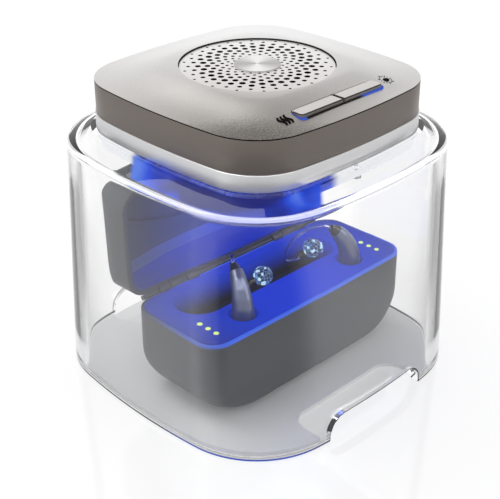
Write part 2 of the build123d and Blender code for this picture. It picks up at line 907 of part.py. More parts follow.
# ---- hearing aids ----
def aid_frame(side):
    # local frame at the foot of the aid: X along the lean, Z up
    foot_z = case_top_z - well_depth + 1.0
    return Pos(well_x[side], well_y, foot_z) * Rot(0, 0, aid_turns[side])


def aid_station(angle):
    reach = aid_arc_radius * (1 - cos(radians(angle)))
    rise = aid_straight + aid_arc_radius * sin(radians(angle))
    return reach, rise


def aid_section(angle, z=None):
    share = angle / aid_arc_angle
    depth = aid_depth + (aid_top_depth - aid_depth) * share ** 1.3
    thickness = aid_thickness + (aid_top_thickness - aid_thickness) * share ** 1.3
    reach, rise = aid_station(angle)
    if z is not None:
        rise = z
    plane = Plane((reach, 0, rise), x_dir=(cos(radians(angle)), 0, -sin(radians(angle))),
                  z_dir=(sin(radians(angle)), 0, cos(radians(angle))))
    return plane * Ellipse(depth / 2, thickness / 2)


def aid_body(side):
    sections = [aid_section(0.0, 0.0), aid_section(0.0)]
    for step in range(1, 6):
        sections.append(aid_section(aid_arc_angle * step / 5))
    body = loft(sections, ruled=True)
    return aid_frame(side) * body


def aid_plug(side):
    # black connector that carries on from the top of the body
    angle = radians(aid_arc_angle)
    reach, rise = aid_station(aid_arc_angle)
    tangent = Vector(sin(angle), 0, cos(angle))
    base = Plane((reach, 0, rise), x_dir=(cos(angle), 0, -sin(angle)), z_dir=tangent)
    end = Plane(Vector(reach, 0, rise) + tangent * plug_length, x_dir=base.x_dir, z_dir=tangent)
    wide = base * Ellipse(aid_top_depth / 2 - 0.3, aid_top_thickness / 2 - 0.3)
    narrow = end * Ellipse(plug_tip_radius, plug_tip_radius * 0.98)
    return aid_frame(side) * loft([wide, narrow], ruled=True)


def aid_axis_point(side, beyond):
    # a point on the straight line that leaves the top of the body
    angle = radians(aid_arc_angle)
    reach, rise = aid_station(aid_arc_angle)
    local = Vector(reach + beyond * sin(angle), 0, rise + beyond * cos(angle))
    placed = aid_frame(side) * Location(local)
    return placed.position


def over_case(x, y, z):
    # a point given from the middle of the case's rim
    return Vector(case_x + x, case_y + y, case_top_z + z)


ear_domes = {"left": (-8.8, -1.7, 4.5), "right": (18.7, -1.7, 6.0)}
ear_axis = Vector(0.55, -0.55, 0.63).normalized()
tube_lead = 2.4
tube_routes = {
    "left": [(-20.4, 2.7, 16.6), (-18.2, 5.5, 11.4), (-17.6, 6.1, 4.6), (-15.8, 5.1, -1.0)],
    "right": [(14.8, -3.3, 17.0), (11.2, 0.7, 13.0), (9.8, 3.7, 6.6), (11.2, 5.3, 0.6)],
}


def receiver_back(side):
    return over_case(*ear_domes[side]) - ear_axis * (receiver_length + 1.0)


def ear_tube(side):
    tip = aid_axis_point(side, plug_length)
    first = aid_axis_point(side, plug_length + tube_lead)
    back = receiver_back(side)
    last = back - ear_axis * tube_lead
    points = [tip, first] + [over_case(*point) for point in tube_routes[side]] + [last, back]
    corner_radii = []
    for before, at, after in zip(points, points[1:], points[2:]):
        shorter = min((at - before).length, (after - at).length)
        turn = radians((at - before).get_angle(after - at))
        corner_radii.append(min(9.0, 0.45 * shorter / max(0.05, sin(turn / 2) / cos(turn / 2))))
    path = FilletPolyline(*points, radius=corner_radii)
    start = Plane(tip, z_dir=(first - tip).normalized())
    return sweep(start * Circle(tube_radius), path=path)


def receiver(side):
    base = Plane(receiver_back(side), z_dir=ear_axis)
    return extrude(base * Circle(receiver_radius), receiver_length)


def ear_dome(side):
    # soft flanged dome: a thin cup on a short sleeve
    cup = Sphere(ear_dome_radius) - Sphere(ear_dome_radius - ear_dome_wall)
    cup -= Pos(0, 0, -ear_dome_radius) * Box(4 * ear_dome_radius, 4 * ear_dome_radius, 2 * ear_dome_radius)
    sleeve_low = -0.8
    sleeve = Pos(0, 0, sleeve_low) * extrude(Circle(receiver_radius), ear_dome_radius - 0.3 - sleeve_low)
    dome = cup + sleeve
    dome -= Pos(0, 0, sleeve_low) * extrude(Circle(0.9), 2 * ear_dome_radius)
    place = Plane(over_case(*ear_domes[side]), z_dir=ear_axis)
    return place.location * dome


pieces = {
    "hood_shell": hood_shell,
    "hood_gasket": hood_gasket,
    "retaining_ring": retaining_ring,
    "clamp_screws": clamp_screws,
    "trim_ring": trim_ring,
    "head_housing": head_housing,
    "top_cover": top_cover,
    "grille_disc": grille_disc,
    "centre_cap": centre_cap,
    "heat_button": lambda: button(-1),
    "light_button": lambda: button(1),
    "button_bezel": button_bezel,
    "button_switches": button_switches,
    "control_board": control_board,
    "fan_frame": fan_frame,
    "fan_screws": fan_screws,
    "fan_bearing": fan_bearing,
    "fan_stator": fan_stator,
    "fan_rotor": fan_rotor,
    "fan_shaft": fan_shaft,
    "heater_core": heater_core,
    "heater_frame": heater_frame,
    "thermal_cutout": thermal_cutout,
    "light_board": light_board,
    "light_emitters": light_emitters,
    "light_lens": light_lens,
    "outlet_plate": outlet_plate,
    "outlet_screws": outlet_screws,
    "power_inlet": power_inlet,
    "inlet_board": inlet_board,
    "base_mat": base_mat,
    "case_shell": case_shell,
    "case_tray": case_tray,
    "case_board": case_board,
    "case_cell": case_cell,
    "status_lamps": status_lamps,
    "charge_contacts": charge_contacts,
    "hinge_pins": hinge_pins,
    "lid_shell": lid_shell,
    "lid_liner": lid_liner,
}

for side in well_x:
    pieces["aid_body_" + side] = lambda side=side: aid_body(side)
    pieces["aid_plug_" + side] = lambda side=side: aid_plug(side)
    pieces["ear_tube_" + side] = lambda side=side: ear_tube(side)
    pieces["receiver_" + side] = lambda side=side: receiver(side)
    pieces["ear_dome_" + side] = lambda side=side: ear_dome(side)

for name, make in pieces.items():
    save(make(), name)
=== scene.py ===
import json
import math

import bmesh
import bpy
from mathutils import Matrix, Vector


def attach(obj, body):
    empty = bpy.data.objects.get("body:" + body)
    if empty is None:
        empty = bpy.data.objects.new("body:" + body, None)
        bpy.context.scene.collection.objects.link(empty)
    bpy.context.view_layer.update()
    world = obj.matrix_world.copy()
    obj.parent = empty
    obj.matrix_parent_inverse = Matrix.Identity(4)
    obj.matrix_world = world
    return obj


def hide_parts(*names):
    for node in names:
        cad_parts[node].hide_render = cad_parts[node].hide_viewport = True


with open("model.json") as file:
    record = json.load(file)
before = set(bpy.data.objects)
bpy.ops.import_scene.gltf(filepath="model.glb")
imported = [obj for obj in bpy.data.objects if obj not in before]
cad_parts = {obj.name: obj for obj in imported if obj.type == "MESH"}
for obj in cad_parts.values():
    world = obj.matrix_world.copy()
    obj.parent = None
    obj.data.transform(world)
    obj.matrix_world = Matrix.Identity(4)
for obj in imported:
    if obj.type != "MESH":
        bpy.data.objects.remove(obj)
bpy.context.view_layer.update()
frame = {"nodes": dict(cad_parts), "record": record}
nodes = frame["nodes"]
bodyOf = {n: b for b, members in frame["record"]["behaviour"]["bodies"].items() for n in members}
mm = 0.001
print("frame loaded")


def newObject(name, mesh, material=None):
    piece = bpy.data.objects.new(name, mesh)
    bpy.context.scene.collection.objects.link(piece)
    if len(mesh.materials):
        mesh.materials.clear()
    if material:
        mesh.materials.append(material)
    return piece


def bareObject(bm, name, material=None):
    mesh = bpy.data.meshes.new(name)
    bm.to_mesh(mesh)
    bm.free()
    return newObject(name, mesh, material)


def standFor(piece, node):
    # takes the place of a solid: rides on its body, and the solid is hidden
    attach(piece, bodyOf[node])
    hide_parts(node)


def markSharp(bm, degrees):
    limit = math.radians(degrees)
    for face in bm.faces:
        face.smooth = True
    for edge in bm.edges:
        edge.smooth = len(edge.link_faces) != 2 or edge.calc_face_angle(0.0) < limit


def finishPiece(bm, name, material, node=None, body=None, sharp=35.0, extra=()):
    # closes a bmesh into a piece that rides on its body
    markSharp(bm, sharp)
    piece = bareObject(bm, name, material)
    for more in extra:
        piece.data.materials.append(more)
    if node:
        standFor(piece, node)
    else:
        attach(piece, body)
    return piece


def smoothCopy(node, material, sharp=32.0):
    # the solid's own surface, welded and smoothed, in a better finish
    mesh = nodes[node].data.copy()
    for layer in ("custom_normal", "sharp_face"):
        if layer in mesh.attributes:
            mesh.attributes.remove(mesh.attributes[layer])
    bm = bmesh.new()
    bm.from_mesh(mesh)
    bmesh.ops.remove_doubles(bm, verts=bm.verts, dist=1e-6)
    markSharp(bm, sharp)
    bm.to_mesh(mesh)
    bm.free()
    piece = newObject("smooth_" + node, mesh, material)
    even = piece.modifiers.new("evenNormals", "WEIGHTED_NORMAL")
    even.keep_sharp = True
    standFor(piece, node)
    return piece


def dress(node, material):
    slots = nodes[node].material_slots
    if slots:
        for slot in slots:
            slot.material = material
    else:
        nodes[node].data.materials.append(material)


def tubePiece(name, routes, radius, material):
    # thin round strokes along lists of points, on the hood's body
    curve = bpy.data.curves.new(name, "CURVE")
    curve.dimensions = "3D"
    curve.bevel_depth = radius * mm
    curve.bevel_resolution = 2
    curve.use_fill_caps = True
    for route in routes:
        spline = curve.splines.new("POLY")
        spline.points.add(len(route) - 1)
        for point, place in zip(spline.points, route):
            point.co = (*[value * mm for value in place], 1)
    holder = bpy.data.objects.new(name, curve)
    bpy.context.scene.collection.objects.link(holder)
    bpy.context.view_layer.update()
    mesh = bpy.data.meshes.new_from_object(holder.evaluated_get(bpy.context.evaluated_depsgraph_get()))
    bpy.data.objects.remove(holder)
    piece = newObject(name, mesh, material)
    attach(piece, "hood")


def bowedOutline(half, corner, bulge, sideSteps, cornerSteps):
    # rounded square with bowed sides, as points in order round it
    sideRadius = half * half / (2 * bulge)
    drop = sideRadius - half
    constant = drop * drop - (sideRadius - corner) ** 2
    centre = (-2 * drop + math.sqrt(4 * drop * drop - 8 * constant)) / 4
    swing = math.pi / 2 - math.atan2(centre + drop, centre)
    quarter = []
    for i in range(sideSteps):
        a = -swing + 2 * swing * i / sideSteps
        quarter.append((sideRadius * math.cos(a) - drop, sideRadius * math.sin(a)))
    for i in range(cornerSteps):
        a = swing + (math.pi / 2 - 2 * swing) * i / cornerSteps
        quarter.append((centre + corner * math.cos(a), centre + corner * math.sin(a)))
    points = []
    for turn in range(4):
        c, s = round(math.cos(turn * math.pi / 2)), round(math.sin(turn * math.pi / 2))
        points += [Vector((x * c - y * s, x * s + y * c)) for x, y in quarter]
    return points


outline = {
    "sideSteps": 26, "cornerSteps": 26,
    "hoodCorner": 35.8 / 65, "hoodBulge": 7.7 / 65,
    "headCorner": 22.4 / 50, "headBulge": 4.4 / 50,
}


def hoodOutline(half):
    return bowedOutline(half, outline["hoodCorner"] * half, outline["hoodBulge"] * half,
                        outline["sideSteps"], outline["cornerSteps"])


def headOutline(half):
    return bowedOutline(half, outline["headCorner"] * half, outline["headBulge"] * half,
                        outline["sideSteps"], outline["cornerSteps"])


def circleLike(points, radius):
    return [p.normalized() * radius for p in points]


def mixOutlines(first, second, share):
    return [a.lerp(b, share) for a, b in zip(first, second)]


def firstRing(bm, points, z):
    made = bmesh.ops.create_circle(bm, cap_ends=False, segments=len(points), radius=1.0)
    ring = made["verts"]
    for vert, p in zip(ring, points):
        vert.co = Vector((p.x, p.y, z)) * mm
    return ring


def ringEdges(bm, ring):
    return [bm.edges.get((a, b)) for a, b in zip(ring, ring[1:] + ring[:1])]


def nextRing(bm, ring, points, z):
    made = bmesh.ops.extrude_edge_only(bm, edges=ringEdges(bm, ring))
    fresh = {v for v in made["geom"] if isinstance(v, bmesh.types.BMVert)}
    upper = []
    for vert in ring:
        upper.append(next(e.other_vert(vert) for e in vert.link_edges if e.other_vert(vert) in fresh))
    for vert, p in zip(upper, points):
        vert.co = Vector((p.x, p.y, z)) * mm
    return upper


def stackRings(bm, stations, closed=True):
    # stations are (outline points, height); closed joins the last to the first
    first = ring = firstRing(bm, *stations[0])
    for points, z in stations[1:]:
        ring = nextRing(bm, ring, points, z)
    if closed:
        bmesh.ops.bridge_loops(bm, edges=ringEdges(bm, ring) + ringEdges(bm, first))
    bmesh.ops.recalc_face_normals(bm, faces=bm.faces)
    return first, ring


def roundedPath(corners):
    # corners are ((half width, height, blend), radius, steps), rounded by true arcs and closed
    path = []
    for i, (values, radius, steps) in enumerate(corners):
        point = Vector(values)
        if radius <= 0:
            path.append(point)
            continue
        back = Vector(corners[i - 1][0]) - point
        ahead = Vector(corners[(i + 1) % len(corners)][0]) - point
        angle = back.xy.angle(ahead.xy)
        reach = radius / math.tan(angle / 2)
        start = point + back * (reach / back.xy.length)
        end = point + ahead * (reach / ahead.xy.length)
        weight = math.sin(angle / 2)
        for step in range(steps + 1):
            s = step / steps
            a, b, c = (1 - s) ** 2, 2 * weight * s * (1 - s), s * s
            path.append((start * a + point * b + end * c) / (a + b + c))
    return path


def cutAway(piece, cutter):
    cut = piece.modifiers.new("cut", "BOOLEAN")
    cut.operation = "DIFFERENCE"
    cut.solver = "EXACT"
    cut.object = cutter
    bpy.context.view_layer.update()
    graph = bpy.context.evaluated_depsgraph_get()
    mesh = bpy.data.meshes.new_from_object(piece.evaluated_get(graph))
    piece.modifiers.clear()
    piece.data = mesh
    bpy.data.objects.remove(cutter)


def resharpen(piece, degrees):
    bm = bmesh.new()
    bm.from_mesh(piece.data)
    bmesh.ops.remove_doubles(bm, verts=bm.verts, dist=2e-6)
    markSharp(bm, degrees)
    bm.to_mesh(piece.data)
    bm.free()


# node helpers: feeds give each input a plain value or another node's socket
def feed(tree, node, feeds):
    for label, value in feeds.items():
        if isinstance(value, bpy.types.NodeSocket):
            tree.links.new(value, node.inputs[label])
        else:
            node.inputs[label].default_value = value


def addNode(tree, kind, at=(0, 0), feeds=None, **settings):
    node = tree.nodes.new(kind)
    node.location = at
    for key, value in settings.items():
        setattr(node, key, value)
    feed(tree, node, feeds or {})
    return node


def placeOf(tree, at=(-1300, 0)):
    return addNode(tree, "ShaderNodeTexCoord", at).outputs["Object"]


def noiseOf(tree, place, scale, detail=2.0, distortion=0.0, at=(-1100, 0)):
    feeds = {"Vector": place, "Scale": scale, "Detail": detail, "Distortion": distortion}
    return addNode(tree, "ShaderNodeTexNoise", at, feeds).outputs["Fac"]


def mathOf(tree, operation, first, second=None, at=(0, 0)):
    feeds = {0: first} if second is None else {0: first, 1: second}
    return addNode(tree, "ShaderNodeMath", at, feeds, operation=operation).outputs[0]


def scaleOf(tree, vector, scale, at=(0, 0)):
    node = addNode(tree, "ShaderNodeVectorMath", at, {0: vector, "Scale": scale}, operation="SCALE")
    return node.outputs[0]


def apartOf(tree, place, centre, at=(0, 0)):
    feeds = {0: place, 1: centre}
    return addNode(tree, "ShaderNodeVectorMath", at, feeds, operation="DISTANCE").outputs["Value"]


def reachOf(tree, place, along, at=(0, 0)):
    # how far a place lies along a direction
    feeds = {0: place, 1: along}
    return addNode(tree, "ShaderNodeVectorMath", at, feeds, operation="DOT_PRODUCT").outputs["Value"]


def heightOf(tree, place, at=(0, 0)):
    return addNode(tree, "ShaderNodeSeparateXYZ", at, {0: place}).outputs["Z"]


def mapOf(tree, value, low, high, start=0.0, end=1.0, kind="SMOOTHSTEP", at=(0, 0)):
    # carries low..high over to start..end
    feeds = {"Value": value, "From Min": low, "From Max": high, "To Min": start, "To Max": end}
    return addNode(tree, "ShaderNodeMapRange", at, feeds, interpolation_type=kind).outputs["Result"]


def rampOf(tree, value, stops, kind="LINEAR", at=(0, 0)):
    # stops are (position, colour)
    ramp = addNode(tree, "ShaderNodeValToRGB", at, {0: value})
    for index, (position, colour) in enumerate(stops):
        stop = ramp.color_ramp.elements[index] if index < 2 else ramp.color_ramp.elements.new(position)
        stop.position = position
        stop.color = (*colour, 1)
    ramp.color_ramp.interpolation = kind
    return ramp.outputs["Color"]


def blendOf(tree, factor, first, second, at=(0, 0)):
    feeds = {"Factor": factor}
    for label, value in (("A", first), ("B", second)):
        feeds[label] = (*value, 1) if isinstance(value, tuple) else value
    return addNode(tree, "ShaderNodeMix", at, feeds, data_type="RGBA").outputs["Result"]


def bandMask(tree, along, low, high, soft, at=(-900, 0)):
    # 1 between low and high along a direction, fading over a soft edge
    x, y = at
    reach = reachOf(tree, placeOf(tree, at), along, at=(x + 150, y))
    rise = mapOf(tree, reach, low - soft, low, at=(x + 300, y))
    fall = mapOf(tree, reach, high, high + soft, 1.0, 0.0, at=(x + 300, y - 150))
    return mathOf(tree, "MULTIPLY", rise, fall, at=(x + 500, y))


def socketKind(value):
    size = len(value) if isinstance(value, tuple) else 1
    return {1: "NodeSocketFloat", 3: "NodeSocketVector", 4: "NodeSocketColor"}[size]


def newGroup(name, inputs, outputs):
    # inputs and outputs are names with a sample value each
    group = bpy.data.node_groups.new(name, "ShaderNodeTree")
    for label, value in inputs.items():
        socket = group.interface.new_socket(name=label, in_out="INPUT", socket_type=socketKind(value))
        socket.default_value = value
    for label, value in outputs.items():
        group.interface.new_socket(name=label, in_out="OUTPUT", socket_type=socketKind(value))
    source = addNode(group, "NodeGroupInput", (-900, 0))
    target = addNode(group, "NodeGroupOutput", (700, 0))
    return group, source.outputs, target


def buildGrain():
    # moulded or blasted surface: cloudy tone, fine speckle, roughness and height
    group, source, target = newGroup("surfaceGrain", {
        "Colour": (0.5, 0.5, 0.5, 1), "Tone": 0.06, "Speckle": 0.04, "Cloud Scale": 40.0,
        "Grain Scale": 2500.0, "Rough Low": 0.3, "Rough High": 0.45},
        {"Colour": (0.5, 0.5, 0.5, 1), "Roughness": 0.4, "Height": 0.0})
    place = placeOf(group, (-900, 300))
    cloud = noiseOf(group, place, source["Cloud Scale"], 3.0, at=(-650, 300))
    grain = noiseOf(group, place, source["Grain Scale"], at=(-650, 0))
    tone = mapOf(group, cloud, 0.3, 0.7, -0.5, 0.5, "LINEAR", at=(-420, 300))
    tone = mathOf(group, "MULTIPLY", tone, source["Tone"], at=(-220, 300))
    speck = mathOf(group, "SUBTRACT", grain, 0.5, at=(-420, 0))
    speck = mathOf(group, "MULTIPLY", speck, source["Speckle"], at=(-220, 0))
    gain = mathOf(group, "ADD", mathOf(group, "ADD", tone, speck, at=(-40, 200)), 1.0, at=(120, 200))
    rough = mapOf(group, cloud, 0.0, 1.0, source["Rough Low"], source["Rough High"], "LINEAR", at=(120, -100))
    shade = scaleOf(group, source["Colour"], gain, at=(300, 300))
    feed(group, target, {"Colour": shade, "Roughness": rough, "Height": grain})
    return group


def buildPaintedBlueLight():
    # painted blue light of the ring: grey far from it, deep blue close by and on top, painted shade below a
    # height, and a painted glow as emission
    group, source, target = newGroup("paintedBlueLight", {
        "Grey": (0.1, 0.1, 0.1, 1), "Blue": (0.01, 0.04, 0.5, 1), "Centre": (0.0, 0.0, 0.06), "Near": 0.03,
        "Far": 0.08, "Shade Low": 0.0, "Shade High": 0.001, "Glow": 0.5},
        {"Colour": (0.1, 0.1, 0.1, 1), "Emission": (0.0, 0.0, 0.0, 1)})
    place = placeOf(group, (-900, 300))
    apart = apartOf(group, place, source["Centre"], at=(-700, 200))
    fall = mapOf(group, apart, source["Near"], source["Far"], 1.0, 0.0, at=(-500, 200))
    height = heightOf(group, place, at=(-700, -100))
    depth = mapOf(group, height, source["Shade Low"], source["Shade High"], at=(-500, -100))
    mask = mathOf(group, "MULTIPLY", fall, depth, at=(-300, 100))
    glow = mathOf(group, "MULTIPLY", mask, source["Glow"], at=(-100, -150))
    colour = blendOf(group, mask, source["Grey"], source["Blue"], at=(-50, 100))
    feed(group, target, {"Colour": colour, "Emission": scaleOf(group, source["Blue"], glow, at=(150, -100))})
    return group


grainGroup = buildGrain()
paintedBlueGroup = buildPaintedBlueLight()
acrossView = (0.7071, -0.7071, 0.0)  # to the right as the front corner is looked at
awayFromView = (0.7071, 0.7071, 0.0)


def newMaterial(name):
    material = bpy.data.materials.new(name)
    material.use_nodes = True
    tree = material.node_tree
    tree.nodes.clear()
    output = addNode(tree, "ShaderNodeOutputMaterial", (700, 0))
    shader = addNode(tree, "ShaderNodeBsdfPrincipled", (300, 0))
    tree.links.new(shader.outputs[0], output.inputs["Surface"])
    return material, tree, shader


def nodeOf(tree, kind):
    return next(n for n in tree.nodes if n.type == kind)


def grainFinish(name, colour, metallic=0.0, rough=(0.35, 0.45), tone=0.06, speckle=0.04, grainScale=2500.0,
                bump=0.05, bumpDepth=0.00002, specular=0.5, coat=0.0, coatRough=0.03):
    material, tree, shader = newMaterial(name)
    grain = addNode(tree, "ShaderNodeGroup", (-100, 0), {
        "Colour": (*colour, 1), "Tone": tone, "Speckle": speckle, "Grain Scale": grainScale,
        "Rough Low": rough[0], "Rough High": rough[1]}, node_tree=grainGroup)
    relief = addNode(tree, "ShaderNodeBump", (100, -250), {
        "Strength": bump, "Distance": bumpDepth, "Height": grain.outputs["Height"]})
    feed(tree, shader, {
        "Base Color": grain.outputs["Colour"], "Roughness": grain.outputs["Roughness"],
        "Normal": relief.outputs[0], "Metallic": metallic, "Specular IOR Level": specular,
        "Coat Weight": coat, "Coat Roughness": coatRough})
    return material


def paintedBlueFinish(name, grey, blue, centre, near, far, glow, shade=(0.0, 0.001), rough=(0.42, 0.5), **grain):
    # moulded plastic with the ring's blue light and the shade of its deep parts painted into its colour and
    # emission
    material = grainFinish(name, grey, rough=rough, **grain)
    tree = material.node_tree
    grainNode = nodeOf(tree, "GROUP")
    paintedBlue = addNode(tree, "ShaderNodeGroup", (-350, 150), {
        "Grey": (*grey, 1), "Blue": (*blue, 1), "Centre": centre, "Near": near, "Far": far,
        "Shade Low": shade[0], "Shade High": shade[1], "Glow": glow}, node_tree=paintedBlueGroup)
    feed(tree, grainNode, {"Colour": paintedBlue.outputs["Colour"]})
    feed(tree, nodeOf(tree, "BSDF_PRINCIPLED"), {
        "Emission Color": paintedBlue.outputs["Emission"], "Emission Strength": 1.0})
    return material


def clearFinish(name, colour, ior=1.47, wave=0.02, specular=0.5):
    # clear moulding: shadows pass through it, and its skin has a slight flow
    material, tree, shader = newMaterial(name)
    flow = noiseOf(tree, placeOf(tree, (-700, -200)), 22.0, 1.0, at=(-500, -200))
    relief = addNode(tree, "ShaderNodeBump", (0, -250), {"Strength": wave, "Distance": 0.001, "Height": flow})
    feed(tree, shader, {
        "Base Color": (*colour, 1), "Transmission Weight": 1.0, "IOR": ior, "Specular IOR Level": specular,
        "Roughness": mapOf(tree, flow, 0.0, 1.0, 0.0, 0.02, "LINEAR", at=(-250, 0)),
        "Normal": relief.outputs[0]})
    path = addNode(tree, "ShaderNodeLightPath", (100, 400)).outputs
    either = mathOf(tree, "MAXIMUM", path["Is Shadow Ray"], path["Is Diffuse Ray"], at=(300, 350))
    through = addNode(tree, "ShaderNodeBsdfTransparent", (300, 180), {"Color": (0.95, 0.96, 0.97, 1)})
    mix = addNode(tree, "ShaderNodeMixShader", (520, 100), {
        0: either, 1: shader.outputs[0], 2: through.outputs[0]})
    feed(tree, nodeOf(tree, "OUTPUT_MATERIAL"), {"Surface": mix.outputs[0]})
    return material


def hoodFinish():
    # clear wall with painted shade: it greys towards its outline, more so near the foot
    material = clearFinish("clearMoulding", (1.0, 1.0, 1.0), specular=0.25)
    tree = material.node_tree
    facing = addNode(tree, "ShaderNodeLayerWeight", (-1100, 700)).outputs["Facing"]
    turned = mapOf(tree, facing, 0.28, 0.75, at=(-900, 700))
    height = heightOf(tree, placeOf(tree, (-1300, 450)), at=(-1100, 450))
    low = mapOf(tree, height, 0.0, 0.070, 1.0, 0.0, at=(-900, 450))
    mask = mathOf(tree, "MULTIPLY", turned, low, at=(-700, 600))
    paintedLight = blendOf(tree, mask, (1.0, 1.0, 1.0), (0.44, 0.44, 0.45), at=(-400, 600))
    feed(tree, nodeOf(tree, "BSDF_PRINCIPLED"), {"Base Color": paintedLight})
    return material


def ceilingFinish():
    # underside of the clear shoulder: painted blue light as emission, a deep blue flow towards the front,
    # clear at the two sides
    material = clearFinish("clearCeiling", (1.0, 1.0, 1.0), specular=0.25)
    tree = material.node_tree
    output = nodeOf(tree, "OUTPUT_MATERIAL")
    clear = output.inputs["Surface"].links[0].from_socket
    place = placeOf(tree, (-1300, -700))
    flow = noiseOf(tree, place, 48.0, 1.0, 0.6, at=(-1100, -700))
    side = reachOf(tree, place, acrossView, at=(-1100, -900))
    lift = mapOf(tree, side, -0.040, -0.018, 0.12, 0.0, "LINEAR", at=(-950, -900))
    colour = rampOf(tree, mathOf(tree, "ADD", flow, lift, at=(-920, -780)), [
        (0.0, (0.006, 0.008, 0.10)), (0.34, (0.008, 0.015, 0.19)), (0.42, (0.010, 0.035, 0.45)),
        (0.52, (0.018, 0.075, 0.70)), (0.64, (0.10, 0.21, 0.80))], at=(-900, -700))
    lit = addNode(tree, "ShaderNodeEmission", (-500, -700), {"Color": colour})
    mask = bandMask(tree, acrossView, -0.042, 0.020, 0.002, at=(-1300, -1100))
    mix = addNode(tree, "ShaderNodeMixShader", (700, -300), {0: mask, 1: clear, 2: lit.outputs[0]})
    feed(tree, output, {"Surface": mix.outputs[0]})
    return material


def rimFinish():
    # painted highlight: a bright line glowing along the rounded rim
    material = clearFinish("rimPaintedHighlight", (1.0, 1.0, 1.0))
    tree = material.node_tree
    flow = noiseOf(tree, placeOf(tree, (-1300, 500)), 30.0, at=(-1100, 500))
    glow = blendOf(tree, flow, (0.55, 0.57, 0.60), (1.0, 1.0, 1.0), at=(-700, 500))
    feed(tree, nodeOf(tree, "BSDF_PRINCIPLED"), {"Emission Color": glow, "Emission Strength": 0.75})
    return material


def glowFinish(name, colour, glow, strength, edge=0.35):
    # lit plastic, a little darker away from its bright middle
    material, tree, shader = newMaterial(name)
    cloud = noiseOf(tree, placeOf(tree, (-700, 0)), 120.0, at=(-500, 0))
    shade = blendOf(tree, cloud, tuple(g * (1 - edge) for g in glow), glow, at=(-200, 0))
    feed(tree, shader, {"Base Color": (*colour, 1), "Roughness": 0.3, "Emission Color": shade,
                        "Emission Strength": strength})
    return material


def seatFinish():
    # under the head: painted blue light towards the front, painted pale light at the two sides, both as
    # emission
    material, tree, shader = newMaterial("seatGlow")
    flow = noiseOf(tree, placeOf(tree, (-900, 300)), 26.0, 0.5, at=(-700, 300))
    step = mapOf(tree, flow, 0.44, 0.56, at=(-500, 300))
    blue = blendOf(tree, step, (0.008, 0.012, 0.14), (0.015, 0.07, 0.70), at=(-300, 300))
    mask = bandMask(tree, acrossView, -0.041, 0.024, 0.004)
    glow = blendOf(tree, mask, (0.80, 0.81, 0.83), blue, at=(0, 200))
    feed(tree, shader, {"Base Color": (0.02, 0.02, 0.03, 1), "Roughness": 0.5, "Emission Color": glow,
                        "Emission Strength": 1.0})
    return material


def guideFinish():
    # dark light guide that shows blue only at the left end and by the right button's front
    material, tree, shader = newMaterial("lightGuide")
    leftEnd = bandMask(tree, (1.0, 0.0, 0.0), -0.0225, -0.0196, 0.001, at=(-1000, 300))
    rightEnd = bandMask(tree, (1.0, 0.0, 0.0), 0.0105, 0.0225, 0.003, at=(-1000, -100))
    front = bandMask(tree, (0.0, 1.0, 0.0), -0.0440, -0.0405, 0.001, at=(-1000, -500))
    right = mathOf(tree, "MULTIPLY", rightEnd, front, at=(-300, -200))
    either = mathOf(tree, "MAXIMUM", leftEnd, right, at=(-150, 100))
    glow = blendOf(tree, either, (0.0, 0.0, 0.0), (0.03, 0.09, 0.55), at=(50, 0))
    feed(tree, shader, {"Base Color": (0.018, 0.016, 0.015, 1), "Specular IOR Level": 0.0, "Roughness": 0.35,
                        "Emission Color": glow, "Emission Strength": 1.0})
    return material


def coverFinish(name, gain):
    # champagne metal with painted light: pale at the back, darker and browner with more grain towards the
    # front corner
    material = grainFinish(name, (0.6, 0.57, 0.54), metallic=0.85, rough=(0.30, 0.36), tone=0.02,
                           speckle=0.30, grainScale=1900.0, bump=0.3, bumpDepth=0.00003)
    tree = material.node_tree
    back = reachOf(tree, placeOf(tree, (-1100, 200)), awayFromView, at=(-950, 200))
    share = mapOf(tree, back, -0.062, 0.062, kind="LINEAR", at=(-800, 200))
    stops = [(0.0, (0.11, 0.095, 0.082)), (0.07, (0.22, 0.20, 0.18)), (0.14, (0.43, 0.405, 0.38)),
             (0.32, (0.62, 0.60, 0.575)), (0.55, (0.72, 0.705, 0.69)), (0.8, (0.87, 0.865, 0.855)),
             (1.0, (0.95, 0.945, 0.94))]
    bright = [(at, [min(0.97, c * gain) for c in shade]) for at, shade in stops]
    colour = rampOf(tree, share, bright, at=(-600, 200))
    coarse = mapOf(tree, share, 0.02, 0.16, 3.2, 0.25, "LINEAR", at=(-600, -150))
    feed(tree, nodeOf(tree, "GROUP"), {"Colour": colour, "Speckle": coarse})
    return material


def footFinish():
    # dark edge lines of the hood, painted shade, with painted blue light at the front corner
    material = grainFinish("paintedEdgeShade", (0.03, 0.03, 0.035), rough=(0.3, 0.4), specular=0.1)
    tree = material.node_tree
    mask = bandMask(tree, acrossView, -0.022, 0.012, 0.018)
    glow = blendOf(tree, mask, (0.0, 0.0, 0.0), (0.01, 0.05, 0.42))
    feed(tree, nodeOf(tree, "BSDF_PRINCIPLED"), {"Emission Color": glow, "Emission Strength": 1.0})
    return material


